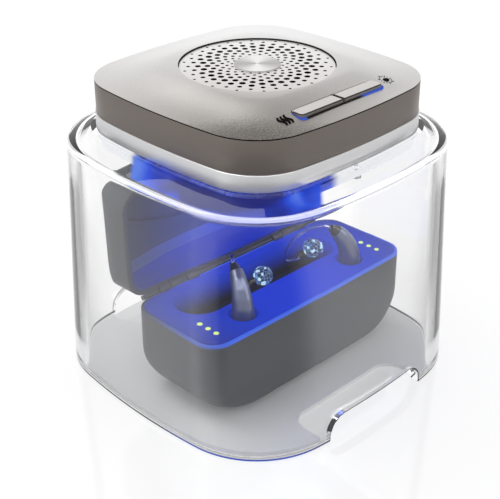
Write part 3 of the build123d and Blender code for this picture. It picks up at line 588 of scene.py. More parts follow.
def crystalFinish():
    # clear soft tip with painted sparkle: a web of bright ribs and facets over deep blue, glowing as emission
    material = clearFinish("softDome", (0.01, 0.02, 0.08), ior=1.5, wave=0.0, specular=0.2)
    tree = material.node_tree
    place = placeOf(tree, (-1000, 500))
    web = addNode(tree, "ShaderNodeTexVoronoi", (-800, 600), {"Vector": place, "Scale": 800.0},
                  feature="DISTANCE_TO_EDGE")
    cell = addNode(tree, "ShaderNodeTexVoronoi", (-800, 300), {"Vector": place, "Scale": 800.0})
    rib = mapOf(tree, web.outputs["Distance"], 0.02, 0.06, 1.0, 0.0, at=(-600, 600))
    chance = addNode(tree, "ShaderNodeSeparateColor", (-600, 300), {0: cell.outputs["Color"]}).outputs["Red"]
    facet = rampOf(tree, chance, [
        (0.0, (0.0, 0.002, 0.02)), (0.55, (0.004, 0.015, 0.09)), (0.62, (0.03, 0.12, 0.42)),
        (0.82, (0.10, 0.36, 0.72)), (0.86, (0.62, 0.88, 1.0))], "CONSTANT", at=(-450, 300))
    glow = blendOf(tree, rib, facet, (0.30, 0.50, 0.85), at=(-200, 500))
    feed(tree, nodeOf(tree, "BSDF_PRINCIPLED"), {
        "Emission Color": glow, "Emission Strength": 0.8, "Transmission Weight": 0.25})
    return material


def matFinish():
    # pale mat: painted white glow where looked at directly, grey through the clear hood
    material = grainFinish("matGrey", (0.74, 0.738, 0.73), rough=(0.5, 0.6), tone=0.03,
                           speckle=0.03, bump=0.01)
    tree = material.node_tree
    path = addNode(tree, "ShaderNodeLightPath", (-300, 500)).outputs
    feed(tree, nodeOf(tree, "BSDF_PRINCIPLED"), {
        "Emission Color": (1, 1, 1, 1), "Emission Strength": path["Is Camera Ray"]})
    return material


def spunFinish():
    # turned metal: fine rings and two pairs of painted highlight fans
    material, tree, shader = newMaterial("spunCap")
    place = placeOf(tree, (-900, 0))
    split = addNode(tree, "ShaderNodeSeparateXYZ", (-720, 0), {0: place}).outputs
    turn = mathOf(tree, "ARCTAN2", split["Y"], split["X"], at=(-540, 100))
    fan = mathOf(tree, "SINE", mathOf(tree, "MULTIPLY", turn, 2.0, at=(-380, 100)), at=(-220, 100))
    lift = mapOf(tree, fan, -1.0, 1.0, kind="LINEAR", at=(-60, 100))
    paintedLight = blendOf(tree, lift, (0.50, 0.49, 0.48), (0.92, 0.91, 0.90), at=(100, 150))
    wave = addNode(tree, "ShaderNodeTexWave", (-300, -250), {"Vector": place, "Scale": 1400.0},
                   wave_type="RINGS", rings_direction="Z")
    relief = addNode(tree, "ShaderNodeBump", (50, -250), {
        "Strength": 0.03, "Distance": 0.00002, "Height": wave.outputs["Fac"]})
    feed(tree, shader, {"Base Color": paintedLight, "Normal": relief.outputs[0], "Metallic": 0.9, "Roughness": 0.26,
                        "Anisotropic": 0.6})
    return material


finishes = {
    "champagne": coverFinish("champagneMetal", 1.0),
    "grille": coverFinish("grillePlate", 1.23),
    "spun": spunFinish(),
    "capWall": grainFinish("capWall", (0.40, 0.39, 0.38), rough=(0.6, 0.7), specular=0.1),
    "keyMetal": grainFinish("keyMetal", (0.68, 0.655, 0.63), metallic=0.85, rough=(0.25, 0.32), tone=0.03,
                            speckle=0.15, grainScale=2600.0, bump=0.1),
    "keySideShade": grainFinish("keySideShade", (0.040, 0.033, 0.029), rough=(0.35, 0.42), specular=0.1),
    "keyFrontShade": grainFinish("keyFrontShade", (0.24, 0.225, 0.21), metallic=0.3, rough=(0.35, 0.42)),
    "taupe": grainFinish("taupeBand", (0.138, 0.117, 0.103), metallic=0.35, rough=(0.34, 0.42), tone=0.05,
                         speckle=0.12, grainScale=3000.0),
    "silver": grainFinish("silverRing", (0.60, 0.60, 0.605), metallic=0.8, rough=(0.30, 0.36), tone=0.03,
                          speckle=0.05),
    # painted shade: black for faces that stand in shade, in the cover's recess, the grille's holes and the
    # seam gap
    "shadeBlack": grainFinish("paintedShadeBlack", (0.012, 0.010, 0.009), rough=(0.4, 0.5), specular=0.0),
    "ink": grainFinish("markInk", (0.010, 0.009, 0.008), rough=(0.4, 0.5), specular=0.0),
    "seatGlow": seatFinish(),
    "guide": guideFinish(),
    "clear": hoodFinish(),
    "ceiling": ceilingFinish(),
    "rimPaintedHighlight": rimFinish(),
    "paintedEdgeShade": footFinish(),
    "matGrey": matFinish(),
    # painted light: the ring's blue and the shade of deep pockets are painted into the case, tray and liner
    "caseGrey": paintedBlueFinish("caseGrey", (0.058, 0.060, 0.068), (0.035, 0.12, 0.70), (0.004, -0.030, 0.037),
                           near=0.045, far=0.068, glow=0.3, shade=(0.0354, 0.0364), tone=0.05, bump=0.01,
                           specular=0.3),
    "trayGrey": paintedBlueFinish("trayGrey", (0.028, 0.032, 0.062), (0.005, 0.034, 0.46), (0.005, -0.009, 0.055),
                           near=0.030, far=0.085, glow=0.62, shade=(0.0235, 0.0368), tone=0.04, specular=0.0),
    "lidGrey": grainFinish("lidGrey", (0.080, 0.082, 0.090), rough=(0.42, 0.5), tone=0.05, bump=0.01,
                           specular=0.3),
    "linerGrey": paintedBlueFinish("linerGrey", (0.064, 0.071, 0.125), (0.003, 0.022, 0.26), (0.024, 0.012, 0.050),
                            near=0.020, far=0.068, glow=0.42, tone=0.05, specular=0.05),
    "linerLedgeHighlight": paintedBlueFinish("linerLedgeHighlight", (0.10, 0.12, 0.27), (0.02, 0.06, 0.50), (0.024, 0.012, 0.045),
                             near=0.020, far=0.070, glow=0.5, specular=0.05),
    "linerDeepBlueLight": paintedBlueFinish("linerDeepBlueLight", (0.040, 0.062, 0.24), (0.003, 0.026, 0.42), (0.010, 0.012, 0.045),
                            near=0.015, far=0.072, glow=0.5, specular=0.05),
    "blackPlastic": grainFinish("blackPlastic", (0.02, 0.02, 0.022), rough=(0.38, 0.5)),
    "holderPlastic": grainFinish("holderPlastic", (0.09, 0.08, 0.075), rough=(0.5, 0.62)),
    "paleGrey": grainFinish("paleGrey", (0.45, 0.46, 0.49), rough=(0.4, 0.5)),
    "steel": grainFinish("screwSteel", (0.55, 0.55, 0.56), metallic=1.0, rough=(0.25, 0.38)),
    "fins": grainFinish("finMetal", (0.62, 0.62, 0.60), metallic=0.9, rough=(0.35, 0.5), tone=0.12),
    "brass": grainFinish("brass", (0.70, 0.50, 0.20), metallic=1.0, rough=(0.2, 0.3)),
    "board": grainFinish("boardGreen", (0.02, 0.10, 0.05), tone=0.15, speckle=0.3, grainScale=600.0),
    "white": grainFinish("whiteGloss", (0.8, 0.79, 0.75), rough=(0.2, 0.3)),
    # the aids' colour is tinted blue as a painted reflection of the ring's light
    "aidSilverBlueReflection": grainFinish("aidSilverBlueReflection", (0.130, 0.150, 0.235), metallic=0.6, rough=(0.32, 0.38), tone=0.05,
                             speckle=0.05, coat=0.35, coatRough=0.1),
    "aidBlack": grainFinish("aidBlack", (0.012, 0.012, 0.013), rough=(0.15, 0.25)),
    "tube": clearFinish("clearTube", (0.92, 0.94, 1.0), ior=1.4),
    "crystal": crystalFinish(),
    "lens": glowFinish("frostLens", (0.5, 0.6, 0.9), (0.10, 0.22, 1.0), 1.6),
    "emitter": glowFinish("blueEmitter", (0.5, 0.6, 0.9), (0.16, 0.32, 1.0), 6.0),
    "lamp": glowFinish("greenLamp", (0.1, 0.1, 0.05), (0.74, 0.96, 0.26), 0.9, edge=0.05),
}
print("finishes ready")

# clear hood; corners are ((half width, height, blend), radius, steps), blend 1 being the head's outline
hood = {
    "footHalf": 65.0, "rimHalf": 61.8, "rimZ": 95.0, "rimRound": 1.8, "neckHalf": 52.0, "topZ": 98.7,
    "wall": 4.0, "mouthHalf": 46.3, "wallSteps": 14, "wallShare": 0.9,
    "innerRimDrop": 3.6, "innerNeckDraw": 2.0,
    "archHalf": 26.0, "archHeight": 9.5, "archDepth": 160.0, "archCorner": 8.0, "archSteps": 14,
    "ceilingFrom": 85.0, "rimFrom": 92.5, "rimTilt": (0.06, 0.88), "sharp": 40.0,
}


def wallCorners(footHalf, rimZ):
    # one skin of the wall between foot and rim, in even steps
    corners = []
    for step in range(1, hood["wallSteps"]):
        s = step / hood["wallSteps"] * hood["wallShare"]
        corners.append(((footHalf + (hood["rimHalf"] - hood["footHalf"]) * s, rimZ * s, 0.0), 0, 0))
    return corners


def buildHood():
    innerFoot = hood["footHalf"] - hood["wall"]
    innerRimZ = hood["rimZ"] - hood["innerRimDrop"]
    innerTop = hood["topZ"] - hood["wall"]
    corners = [((hood["footHalf"], 0.0, 0.0), 0.8, 4)]
    corners += wallCorners(hood["footHalf"], hood["rimZ"])
    corners += [
        ((hood["rimHalf"], hood["rimZ"], 0.0), hood["rimRound"], 10),
        ((hood["neckHalf"], hood["topZ"], 1.0), 0.4, 3),
        ((hood["mouthHalf"], hood["topZ"], 1.0), 0.4, 3),
        ((hood["mouthHalf"], innerTop, 1.0), 0.4, 3),
        ((hood["neckHalf"] - hood["innerNeckDraw"], innerTop, 1.0), 0.5, 3),
        ((hood["rimHalf"] - hood["wall"], innerRimZ, 0.0), 1.4, 8),
    ]
    corners += wallCorners(innerFoot, innerRimZ)[::-1]
    corners.append(((innerFoot, 0.0, 0.0), 0.5, 3))
    stations = []
    for half, z, blend in roundedPath(corners):
        stations.append((mixOutlines(hoodOutline(half), headOutline(half), blend), z))
    bm = bmesh.new()
    stackRings(bm, stations)
    piece = finishPiece(bm, "clearHood", finishes["clear"], node="hood_shell", extra=[finishes["ceiling"]])
    cutAway(piece, archCutter())
    resharpen(piece, hood["sharp"])
    piece.data.materials.append(finishes["rimPaintedHighlight"])
    flat, steep = hood["rimTilt"]
    # faces under the shoulder take the painted blue light, outward faces of the rim the painted highlight
    for face in piece.data.polygons:
        under = face.normal.z < -0.9 and face.center.z > hood["ceilingFrom"] * mm
        rim = flat < face.normal.z < steep and face.center.z > hood["rimFrom"] * mm
        outward = face.normal.xy.dot(face.center.xy) > 0
        face.material_index = 1 if under else 2 if rim and outward else 0


def archCutter():
    # rounded doorway through the front and back walls
    bm = bmesh.new()
    bmesh.ops.create_cube(bm, size=1.0)
    size = Vector((2 * hood["archHalf"], hood["archDepth"], 2 * hood["archHeight"])) * mm
    bmesh.ops.scale(bm, verts=bm.verts, vec=size)
    upright = [e for e in bm.edges if abs(e.verts[0].co.y - e.verts[1].co.y) > 0.05]
    bmesh.ops.bevel(bm, geom=upright, offset=hood["archCorner"] * mm, affect="EDGES",
                    segments=hood["archSteps"], profile=0.5, material=-1)
    return bareObject(bm, "archCutter")


buildHood()
print("hood built")

# head: ring, housing and cover
head = {
    "half": 50.0, "ringHalf": 50.3, "ringLow": 98.7, "ringTop": 105.1, "ringInner": 46.1,
    "seamZ": 117.4, "seam": 0.22, "wall": 2.4, "floorZ": 107.1, "airHole": 26.0,
    "plugHalf": 46.0, "plugInner": 44.0, "plugLow": 89.5, "glowBelow": 98.6,
    "edge": 0.25, "crown": 4.45, "flatShare": 0.58, "crownPower": 1.3, "crownSteps": 26,
    "lipShare": 0.996, "lipDraws": (0.12, 0.02), "lipRise": 0.1, "innerShares": (0.66, 0.74, 0.82, 0.9),
    "grilleRadius": 28.5, "grilleEdge": ((0.32, 0.0), (0.02, 0.03), (0.0, 0.1)), "ledgeRadius": 26.6,
    "step": 0.5, "disc": 1.2, "ledgeDepth": 1.5, "coverWall": 2.0, "darkBehind": -6.0, "sharp": 40.0,
}


def crownHeight(share):
    t = min(1.0, max(0.0, (share - head["flatShare"]) / (1 - head["flatShare"])))
    fall = math.sin(math.pi / 2 * t) ** head["crownPower"]
    return head["seamZ"] + head["edge"] + head["crown"] * (1 - fall)


def buildRing():
    corners = [
        ((head["ringHalf"], head["ringLow"], 0), 0.25, 3),
        ((head["ringHalf"], head["ringTop"], 0), 0.25, 3),
        ((head["ringInner"], head["ringTop"], 0), 0.2, 2),
        ((head["ringInner"], head["ringLow"], 0), 0.2, 2),
    ]
    bm = bmesh.new()
    stackRings(bm, [(headOutline(point.x), point.y) for point in roundedPath(corners)])
    # faces turned down take the painted blue light under the head
    for face in bm.faces:
        face.material_index = 1 if face.normal.z < -0.7 else 0
    finishPiece(bm, "trimRing", finishes["silver"], node="trim_ring", extra=[finishes["seatGlow"]])


def buildHousing():
    # band, floor with its air hole, and the plug that goes down through the hood; blend 1 is a circle
    inner = head["half"] - head["wall"]
    seamLow = head["seamZ"] - head["seam"]
    corners = [
        ((head["half"], head["ringTop"], 0), 0.2, 2), ((head["half"], seamLow, 0), 0.12, 2),
        ((inner, seamLow, 0), 0.12, 2), ((inner, head["floorZ"], 0), 1.0, 4),
        ((head["airHole"], head["floorZ"], 1), 0.3, 2), ((head["airHole"], head["ringTop"], 1), 0.3, 2),
        ((head["plugInner"], head["ringTop"], 0), 1.0, 4), ((head["plugInner"], head["plugLow"], 0), 0.3, 2),
        ((head["plugHalf"], head["plugLow"], 0), 0.5, 3), ((head["plugHalf"], head["ringTop"], 0), 0, 0)]
    stations = []
    for half, z, blend in roundedPath(corners):
        points = headOutline(half)
        stations.append((mixOutlines(points, circleLike(points, half), blend), z))
    bm = bmesh.new()
    stackRings(bm, stations)
    # the plug takes the painted blue light; the band's top face at the seam is painted black as the shade in
    # the gap
    for face in bm.faces:
        z = face.calc_center_median().z
        if z < head["glowBelow"] * mm:
            face.material_index = 1
        elif z > seamLow * mm - 1e-6 and face.normal.z > 0.5:
            face.material_index = 2
    finishPiece(bm, "headHousing", finishes["taupe"], node="head_housing",
                extra=[finishes["seatGlow"], finishes["shadeBlack"]])


def buildCover():
    top = crownHeight(0)
    discLow = top - head["step"] - head["disc"]
    ledgeLow = discLow - head["ledgeDepth"]
    inner = head["half"] - head["wall"]
    lip = head["seamZ"] + head["seam"] * 0.6
    stations = []
    for index, draw in enumerate(head["lipDraws"]):
        stations.append((headOutline(head["half"] - draw), lip + index * head["lipRise"]))
    for step in range(head["crownSteps"] + 1):
        share = head["lipShare"] - (head["lipShare"] - head["flatShare"]) * step / head["crownSteps"]
        stations.append((headOutline(head["half"] * share), crownHeight(share)))
    flat = headOutline(head["half"] * head["flatShare"])
    radius = head["grilleRadius"]
    for more, drop in head["grilleEdge"]:
        stations.append((circleLike(flat, radius + more), top - drop))
    for reach, z in ((radius, discLow), (head["ledgeRadius"], discLow), (head["ledgeRadius"], ledgeLow),
                     (radius + 2, ledgeLow), (radius + 2, top - head["coverWall"])):
        stations.append((circleLike(flat, reach), z))
    for share in (*head["innerShares"], inner / head["half"]):
        stations.append((headOutline(head["half"] * share), max(lip, crownHeight(share) - head["coverWall"])))
    stations.append((headOutline(inner), lip))
    bm = bmesh.new()
    stackRings(bm, stations)
    # painted shade: the far side of the grille's recess is black
    for face in bm.faces:
        middle = face.calc_center_median()
        inside = middle.xy.length < (radius + 0.3) * mm
        face.material_index = 1 if inside and middle.x + middle.y > head["darkBehind"] * mm else 0
    piece = finishPiece(bm, "topCover", finishes["champagne"], node="top_cover", extra=[finishes["shadeBlack"]])
    cutAway(piece, slotCutter())
    resharpen(piece, head["sharp"])


keys = {
    "length": 20.4, "depth": 4.6, "gap": 0.8, "y": -39.6, "round": 1.4, "clear": 0.95, "front": 0.7,
    "slotZ": 119.0, "slotHeight": 12.0, "aboveZ": 116.95, "backFrom": 0.5, "backGrow": 0.85,
    "backLimit": {"keyMetal": -36.45, "guide": -36.40}, "middleReach": 0.45, "middleDraw": 0.3,
    "topTilt": 0.93, "sideTilt": 0.12, "backTilt": 0.3,
}


def slotCutter():
    k = keys
    width = 2 * k["length"] + k["gap"] + 2 * k["clear"]
    size = Vector((width, k["depth"] + k["clear"] + k["front"], k["slotHeight"]))
    bm = bmesh.new()
    bmesh.ops.create_cube(bm, size=1.0)
    bmesh.ops.scale(bm, verts=bm.verts, vec=size * mm)
    middle = Vector((0, k["y"] + (k["clear"] - k["front"]) / 2, k["slotZ"]))
    bmesh.ops.translate(bm, verts=bm.verts, vec=middle * mm)
    upright = [e for e in bm.edges if abs(e.verts[0].co.z - e.verts[1].co.z) > 0.005]
    bmesh.ops.bevel(bm, geom=upright, offset=(k["round"] + k["clear"]) * mm, affect="EDGES",
                    segments=8, profile=0.5, material=-1)
    return bareObject(bm, "slotCutter")


buildRing()
buildHousing()
buildCover()
print("head built")

# grille and its cap
grille = {
    "radius": 28.46, "segments": 160, "pairs": 18, "first": 9.3, "pitch": 1.76, "sides": 14,
    "cutDepth": 4.0, "darkWithin": 27.5,
    "sizes": [0.55, 0.64, 0.75, 0.88, 1.02, 1.15, 1.24, 1.14, 0.90, 0.70, 0.55],
}


def addDisc(bm, radius, depth, where, segments):
    bmesh.ops.create_cone(bm, cap_ends=True, segments=segments, radius1=radius * mm, radius2=radius * mm,
                          depth=depth * mm, matrix=where)


def buildGrille():
    high = crownHeight(0) - head["step"]
    middle = high - head["disc"] / 2
    bm = bmesh.new()
    addDisc(bm, grille["radius"], head["disc"], Matrix.Translation((0, 0, middle * mm)), grille["segments"])
    piece = finishPiece(bm, "grilleDisc", finishes["grille"], node="grille_disc")
    cutter = bmesh.new()
    for ring, size in enumerate(grille["sizes"]):
        reach = grille["first"] + ring * grille["pitch"]
        offset = 0.5 if ring % 2 == 0 else 0.0
        for spoke in range(grille["pairs"]):
            angle = 2 * math.pi * (spoke + offset) / grille["pairs"]
            where = Vector((reach * math.cos(angle), reach * math.sin(angle), middle)) * mm
            addDisc(cutter, size, grille["cutDepth"], Matrix.Translation(where), grille["sides"])
    cutAway(piece, bareObject(cutter, "holeCutter"))
    resharpen(piece, head["sharp"])
    piece.data.materials.append(finishes["shadeBlack"])
    # painted shade: the walls of the holes are black
    for face in piece.data.polygons:
        if abs(face.normal.z) < 0.5 and face.center.xy.length < grille["darkWithin"] * mm:
            face.material_index = 1


cap = {"profile": [(0.0, 0.44), (4.0, 0.45), (8.42, 0.46), (8.5, 0.43), (8.5, 0.0), (0.0, 0.0)],
       "steps": 96, "wallTilt": 0.98, "sharp": 12.0}


def buildCap():
    # spun disc with a fine edge
    low = crownHeight(0) - head["step"]
    bm = bmesh.new()
    verts = [bm.verts.new((x * mm, 0, (low + z) * mm)) for x, z in cap["profile"]]
    edges = [bm.edges.new(pair) for pair in zip(verts, verts[1:])]
    bmesh.ops.spin(bm, geom=verts + edges, cent=(0, 0, 0), axis=(0, 0, 1), angle=2 * math.pi,
                   steps=cap["steps"], use_merge=True)
    bmesh.ops.remove_doubles(bm, verts=bm.verts, dist=1e-6)
    bmesh.ops.recalc_face_normals(bm, faces=bm.faces)
    for face in bm.faces:
        face.material_index = 1 if abs(face.normal.z) < cap["wallTilt"] else 0
    finishPiece(bm, "centreCap", finishes["spun"], node="centre_cap", sharp=cap["sharp"],
                extra=[finishes["capWall"]])


buildGrille()
buildCap()
print("grille built")

# marks beside the buttons
marks = {
    "heatX": -26.2, "heatY": -39.3, "waveLength": 4.4, "waveSwing": 0.5, "wavePitch": 1.5, "waveSteps": 24,
    "stroke": 0.42, "sunX": 26.4, "sunY": -38.6, "sunDot": 1.35, "dotSquash": 0.32, "dotSink": 0.07,
    "rayIn": 2.05, "rayOut": 2.9, "rayShort": 0.5, "rays": 14, "rayStroke": 0.15,
}


def coverZ(x, y):
    # height of the cover's skin, by how far out a point lies as a share of the head's outline
    angle = math.atan2(y, x)
    nearest = min(headOutline(head["half"]),
                  key=lambda p: abs(math.remainder(math.atan2(p.y, p.x) - angle, 2 * math.pi)))
    return crownHeight(math.hypot(x, y) / nearest.length)


def inkStrokes(routes, radius, name):
    # inked strokes that lie on the cover
    raised = [[(x, y, coverZ(x, y) + radius * 0.1) for x, y in route] for route in routes]
    tubePiece(name, raised, radius, finishes["ink"])


def buildMarks():
    m = marks
    waves = []
    for column in (-1, 0, 1):
        route = []
        for step in range(m["waveSteps"] + 1):
            s = step / m["waveSteps"]
            x = m["heatX"] + column * m["wavePitch"] + m["waveSwing"] * math.sin(2 * math.pi * s)
            route.append((x, m["heatY"] + m["waveLength"] * (s - 0.5)))
        waves.append(route)
    inkStrokes(waves, m["stroke"], "heatMark")
    rays = []
    for ray in range(m["rays"]):
        a = 2 * math.pi * ray / m["rays"]
        far = m["rayOut"] if ray % 2 == 0 else m["rayOut"] - m["rayShort"]
        rays.append([(m["sunX"] + r * math.cos(a), m["sunY"] + r * math.sin(a)) for r in (m["rayIn"], far)])
    inkStrokes(rays, m["rayStroke"], "sunRays")
    bm = bmesh.new()
    bmesh.ops.create_uvsphere(bm, u_segments=32, v_segments=12, radius=m["sunDot"] * mm)
    bmesh.ops.scale(bm, verts=bm.verts, vec=(1, 1, m["dotSquash"]))
    middle = Vector((m["sunX"], m["sunY"], coverZ(m["sunX"], m["sunY"]) - m["dotSink"]))
    bmesh.ops.translate(bm, verts=bm.verts, vec=middle * mm)
    finishPiece(bm, "sunDot", finishes["ink"], body="hood")


buildMarks()
print("marks built")

# pieces that keep their solids' own form
smoothed = {
    "heat_button": "keyMetal", "light_button": "keyMetal", "button_bezel": "guide",
    "base_mat": "matGrey", "case_tray": "trayGrey", "lid_shell": "lidGrey",
    "lid_liner": "linerGrey", "status_lamps": "lamp", "fan_rotor": "blackPlastic",
    # the retaining ring and the gasket take the painted blue light under the head
    "fan_frame": "blackPlastic", "outlet_plate": "paleGrey", "retaining_ring": "seatGlow",
    "light_lens": "lens", "hinge_pins": "lidGrey", "hood_gasket": "seatGlow",
}
for side in ("left", "right"):
    smoothed["aid_body_" + side] = "aidSilverBlueReflection"
    smoothed["aid_plug_" + side] = "aidBlack"
    smoothed["ear_tube_" + side] = "tube"
    smoothed["receiver_" + side] = "aidBlack"


def widenBack(piece, limit):
    # the keys meet the cover at their back edge and stand a little apart at the middle
    for vert in piece.data.vertices:
        x, y, z = vert.co / mm
        if z > keys["aboveZ"] and y > keys["y"] + keys["backFrom"]:
            vert.co.y = min(y + keys["backGrow"], limit) * mm
        if z > keys["aboveZ"] and abs(x) < keys["middleReach"]:
            vert.co.x += math.copysign(keys["middleDraw"] * mm, x)


def paintKeyShade(piece):
    # painted shade: dark sides and a paler front on each key, chosen by which way each face turns
    piece.data.materials.append(finishes["keySideShade"])
    piece.data.materials.append(finishes["keyFrontShade"])
    for face in piece.data.polygons:
        if face.normal.z < keys["topTilt"] and face.normal.y < keys["backTilt"]:
            face.material_index = 1 if face.normal.z > keys["sideTilt"] else 2


liner = {"below": 47.0, "behind": 8.0, "deepTilt": 0.8, "ledgeTilt": 0.45}


def paintLinerLight(piece):
    # painted light: deeper blue on the up-facing hollow of the lid, and a painted highlight along its ledge
    piece.data.materials.append(finishes["linerLedgeHighlight"])
    piece.data.materials.append(finishes["linerDeepBlueLight"])
    for face in piece.data.polygons:
        if face.center.z < liner["below"] * mm and face.center.y > liner["behind"] * mm:
            tilt = face.normal.z
            face.material_index = 2 if tilt > liner["deepTilt"] else 1 if tilt > liner["ledgeTilt"] else 0


for node, finish in smoothed.items():
    piece = smoothCopy(node, finishes[finish])
    if finish in keys["backLimit"]:
        widenBack(piece, keys["backLimit"][finish])
    if finish == "keyMetal":
        paintKeyShade(piece)
    if finish == "linerGrey":
        paintLinerLight(piece)

# charging case, ear domes and the hood's dark edge lines, which are painted shade
case = {
    "x": 0.8, "y": -9.3, "length": 105.6, "width": 43.4, "low": 1.6, "top": 37.0, "wall": 1.15, "floor": 2.0,
    "corner": 8.0, "lowCorner": 15.0, "endRound": 18.0, "edgeRound": 6.0, "rimRound": 0.5, "rimSteps": 4,
    "lift": 0.02, "steps": 30, "innerSteps": 6, "stepPower": 1.8, "straightZ": 30.0, "innerZ": 22.0,
    "lipDraw": 0.2, "cornerSpare": 0.5, "trayInset": 2.15, "trayGrow": 0.9, "traySlack": 0.05,
    "hingeY": 13.4, "hingeZ": 37.1, "knuckleX": 30.0, "knuckle": 1.9, "knuckleLength": 8.0,
    "lidKnuckle": 5.0, "gap": 0.3, "barrel": 0.95, "barrelLength": 94.0, "sharp": 40.0,
}


def roundedBox(halfLength, halfWidth, corner, steps=12, sideSteps=6):
    # rounded rectangle in plan about the middle of the case
    corners = []
    for sx, sy, start in ((1, 1, 0), (-1, 1, 90), (-1, -1, 180), (1, -1, 270)):
        centre = Vector((sx * (halfLength - corner), sy * (halfWidth - corner)))
        angles = [math.radians(start + 90 * step / steps) for step in range(steps + 1)]
        corners.append([centre + Vector((math.cos(a), math.sin(a))) * corner for a in angles])
    points = []
    for arc, following in zip(corners, corners[1:] + corners[:1]):
        points += arc
        points += [arc[-1].lerp(following[0], i / sideSteps) for i in range(1, sideSteps)]
    return [p + Vector((case["x"], case["y"])) for p in points]


def caseOutline(z, inset):
    # plan of the case at one height, drawn in where the ends and edges round under
    c = case
    rise = z - c["low"]
    draws = []
    for radius in (c["endRound"], c["edgeRound"]):
        lift = max(0.0, radius - rise)
        draws.append(radius - math.sqrt(max(0.0, radius * radius - lift * lift)))
    share = max(0.0, 1 - rise / c["endRound"]) ** 2
    corner = c["corner"] + (c["lowCorner"] - c["corner"]) * share - inset
    corner = min(corner, c["width"] / 2 - draws[1] - inset - c["cornerSpare"])
    return roundedBox(c["length"] / 2 - draws[0] - inset, c["width"] / 2 - draws[1] - inset, corner)


def buildCase():
    c = case
    low = c["low"] + c["lift"]
    stations = []
    for step in range(c["steps"] + 1):
        z = low + (c["top"] - c["rimRound"] - low) * (step / c["steps"]) ** c["stepPower"]
        stations.append((caseOutline(z, 0.0), z))
    for step in range(1, c["rimSteps"] + 1):
        a = math.radians(90 * step / c["rimSteps"])
        stations.append((caseOutline(c["straightZ"], c["rimRound"] * (1 - math.cos(a))),
                         c["top"] - c["rimRound"] * (1 - math.sin(a))))
    for inset, z in ((c["wall"] - c["lipDraw"], c["top"]), (c["wall"], c["top"] - c["lipDraw"]),
                     (c["wall"], c["innerZ"])):
        stations.append((caseOutline(c["straightZ"], inset), z))
    floor = c["low"] + c["floor"]
    for step in range(c["innerSteps"] - 1, -1, -1):
        z = floor + (c["innerZ"] - floor) * (step / c["innerSteps"]) ** c["stepPower"]
        stations.append((caseOutline(z, c["wall"]), z))
    bm = bmesh.new()
    for ring in stackRings(bm, stations, closed=False):
        bmesh.ops.contextual_create(bm, geom=ringEdges(bm, ring))
    bmesh.ops.recalc_face_normals(bm, faces=bm.faces)
    piece = finishPiece(bm, "caseShell", finishes["caseGrey"], node="case_shell")
    lidRoom = hingeBars(c["knuckle"] + c["gap"], lidKnuckles(), c["lidKnuckle"] + 2 * c["gap"])
    cutAway(piece, bareObject(lidRoom, "lidRoom"))
    resharpen(piece, c["sharp"])


def lidKnuckles():
    step = case["knuckleLength"] / 2 + case["gap"] + case["lidKnuckle"] / 2
    return [case["x"] + side * case["knuckleX"] + move * step for side in (-1, 1) for move in (-1, 1)]


def hingeBars(radius, places, length):
    bm = bmesh.new()
    across = Matrix.Rotation(math.pi / 2, 4, "Y")
    for x in places:
        where = Matrix.Translation(Vector((x, case["hingeY"], case["hingeZ"])) * mm) @ across
        addDisc(bm, radius, length, where, 40)
    return bm


def buildHinge():
    knuckles = hingeBars(case["knuckle"], [case["x"] - case["knuckleX"], case["x"] + case["knuckleX"]],
                         case["knuckleLength"])
    finishPiece(knuckles, "caseKnuckles", finishes["lidGrey"], body="base")
    barrel = hingeBars(case["barrel"], [case["x"]], case["barrelLength"])
    finishPiece(barrel, "hingeBarrel", finishes["lidGrey"], body="base")


def growTray(piece):
    # draws the tray's outer edge out to the thin rim
    c = case
    radius = c["corner"] - c["trayInset"]
    reach = Vector((c["length"] / 2 - c["trayInset"] - radius, c["width"] / 2 - c["trayInset"] - radius))
    for vert in piece.data.vertices:
        x, y = vert.co.x / mm - c["x"], vert.co.y / mm - c["y"]
        out = Vector((max(abs(x) - reach.x, 0.0), max(abs(y) - reach.y, 0.0)))
        if out.length > radius - c["traySlack"]:
            move = out.normalized() * c["trayGrow"]
            vert.co.x += math.copysign(move.x, x) * mm
            vert.co.y += math.copysign(move.y, y) * mm


dome = {"left": (-8.0, -11.0, 41.5), "right": (19.5, -11.0, 43.0), "radius": 3.95, "sharp": 2.0}


def buildEarDomes():
    # soft clear tips, faceted, whose sparkle of ribs and facets is painted in their finish
    for side in ("left", "right"):
        bm = bmesh.new()
        bmesh.ops.create_icosphere(bm, subdivisions=2, radius=dome["radius"] * mm)
        bmesh.ops.translate(bm, verts=bm.verts, vec=Vector(dome[side]) * mm)
        finishPiece(bm, "earDome_" + side, finishes["crystal"], node="ear_dome_" + side, sharp=dome["sharp"])


edges = {
    "footShadeLine": [(64.50, 0.02), (64.93, 0.22), (64.96, 0.62), (64.75, 0.86), (64.45, 0.45)],
    "archLineRadius": 0.2, "archLow": 0.4, "archStraight": 0.7, "archSteps": 12, "wallLean": 0.034, "sink": 0.16,
}


def buildFootShadeLine():
    # dark line laid round the hood's foot: painted shade, with painted blue at the front corner
    bm = bmesh.new()
    stackRings(bm, [(hoodOutline(half), z) for half, z in edges["footShadeLine"]])
    piece = finishPiece(bm, "footShadeLine", finishes["paintedEdgeShade"], body="hood")
    cutAway(piece, archCutter())


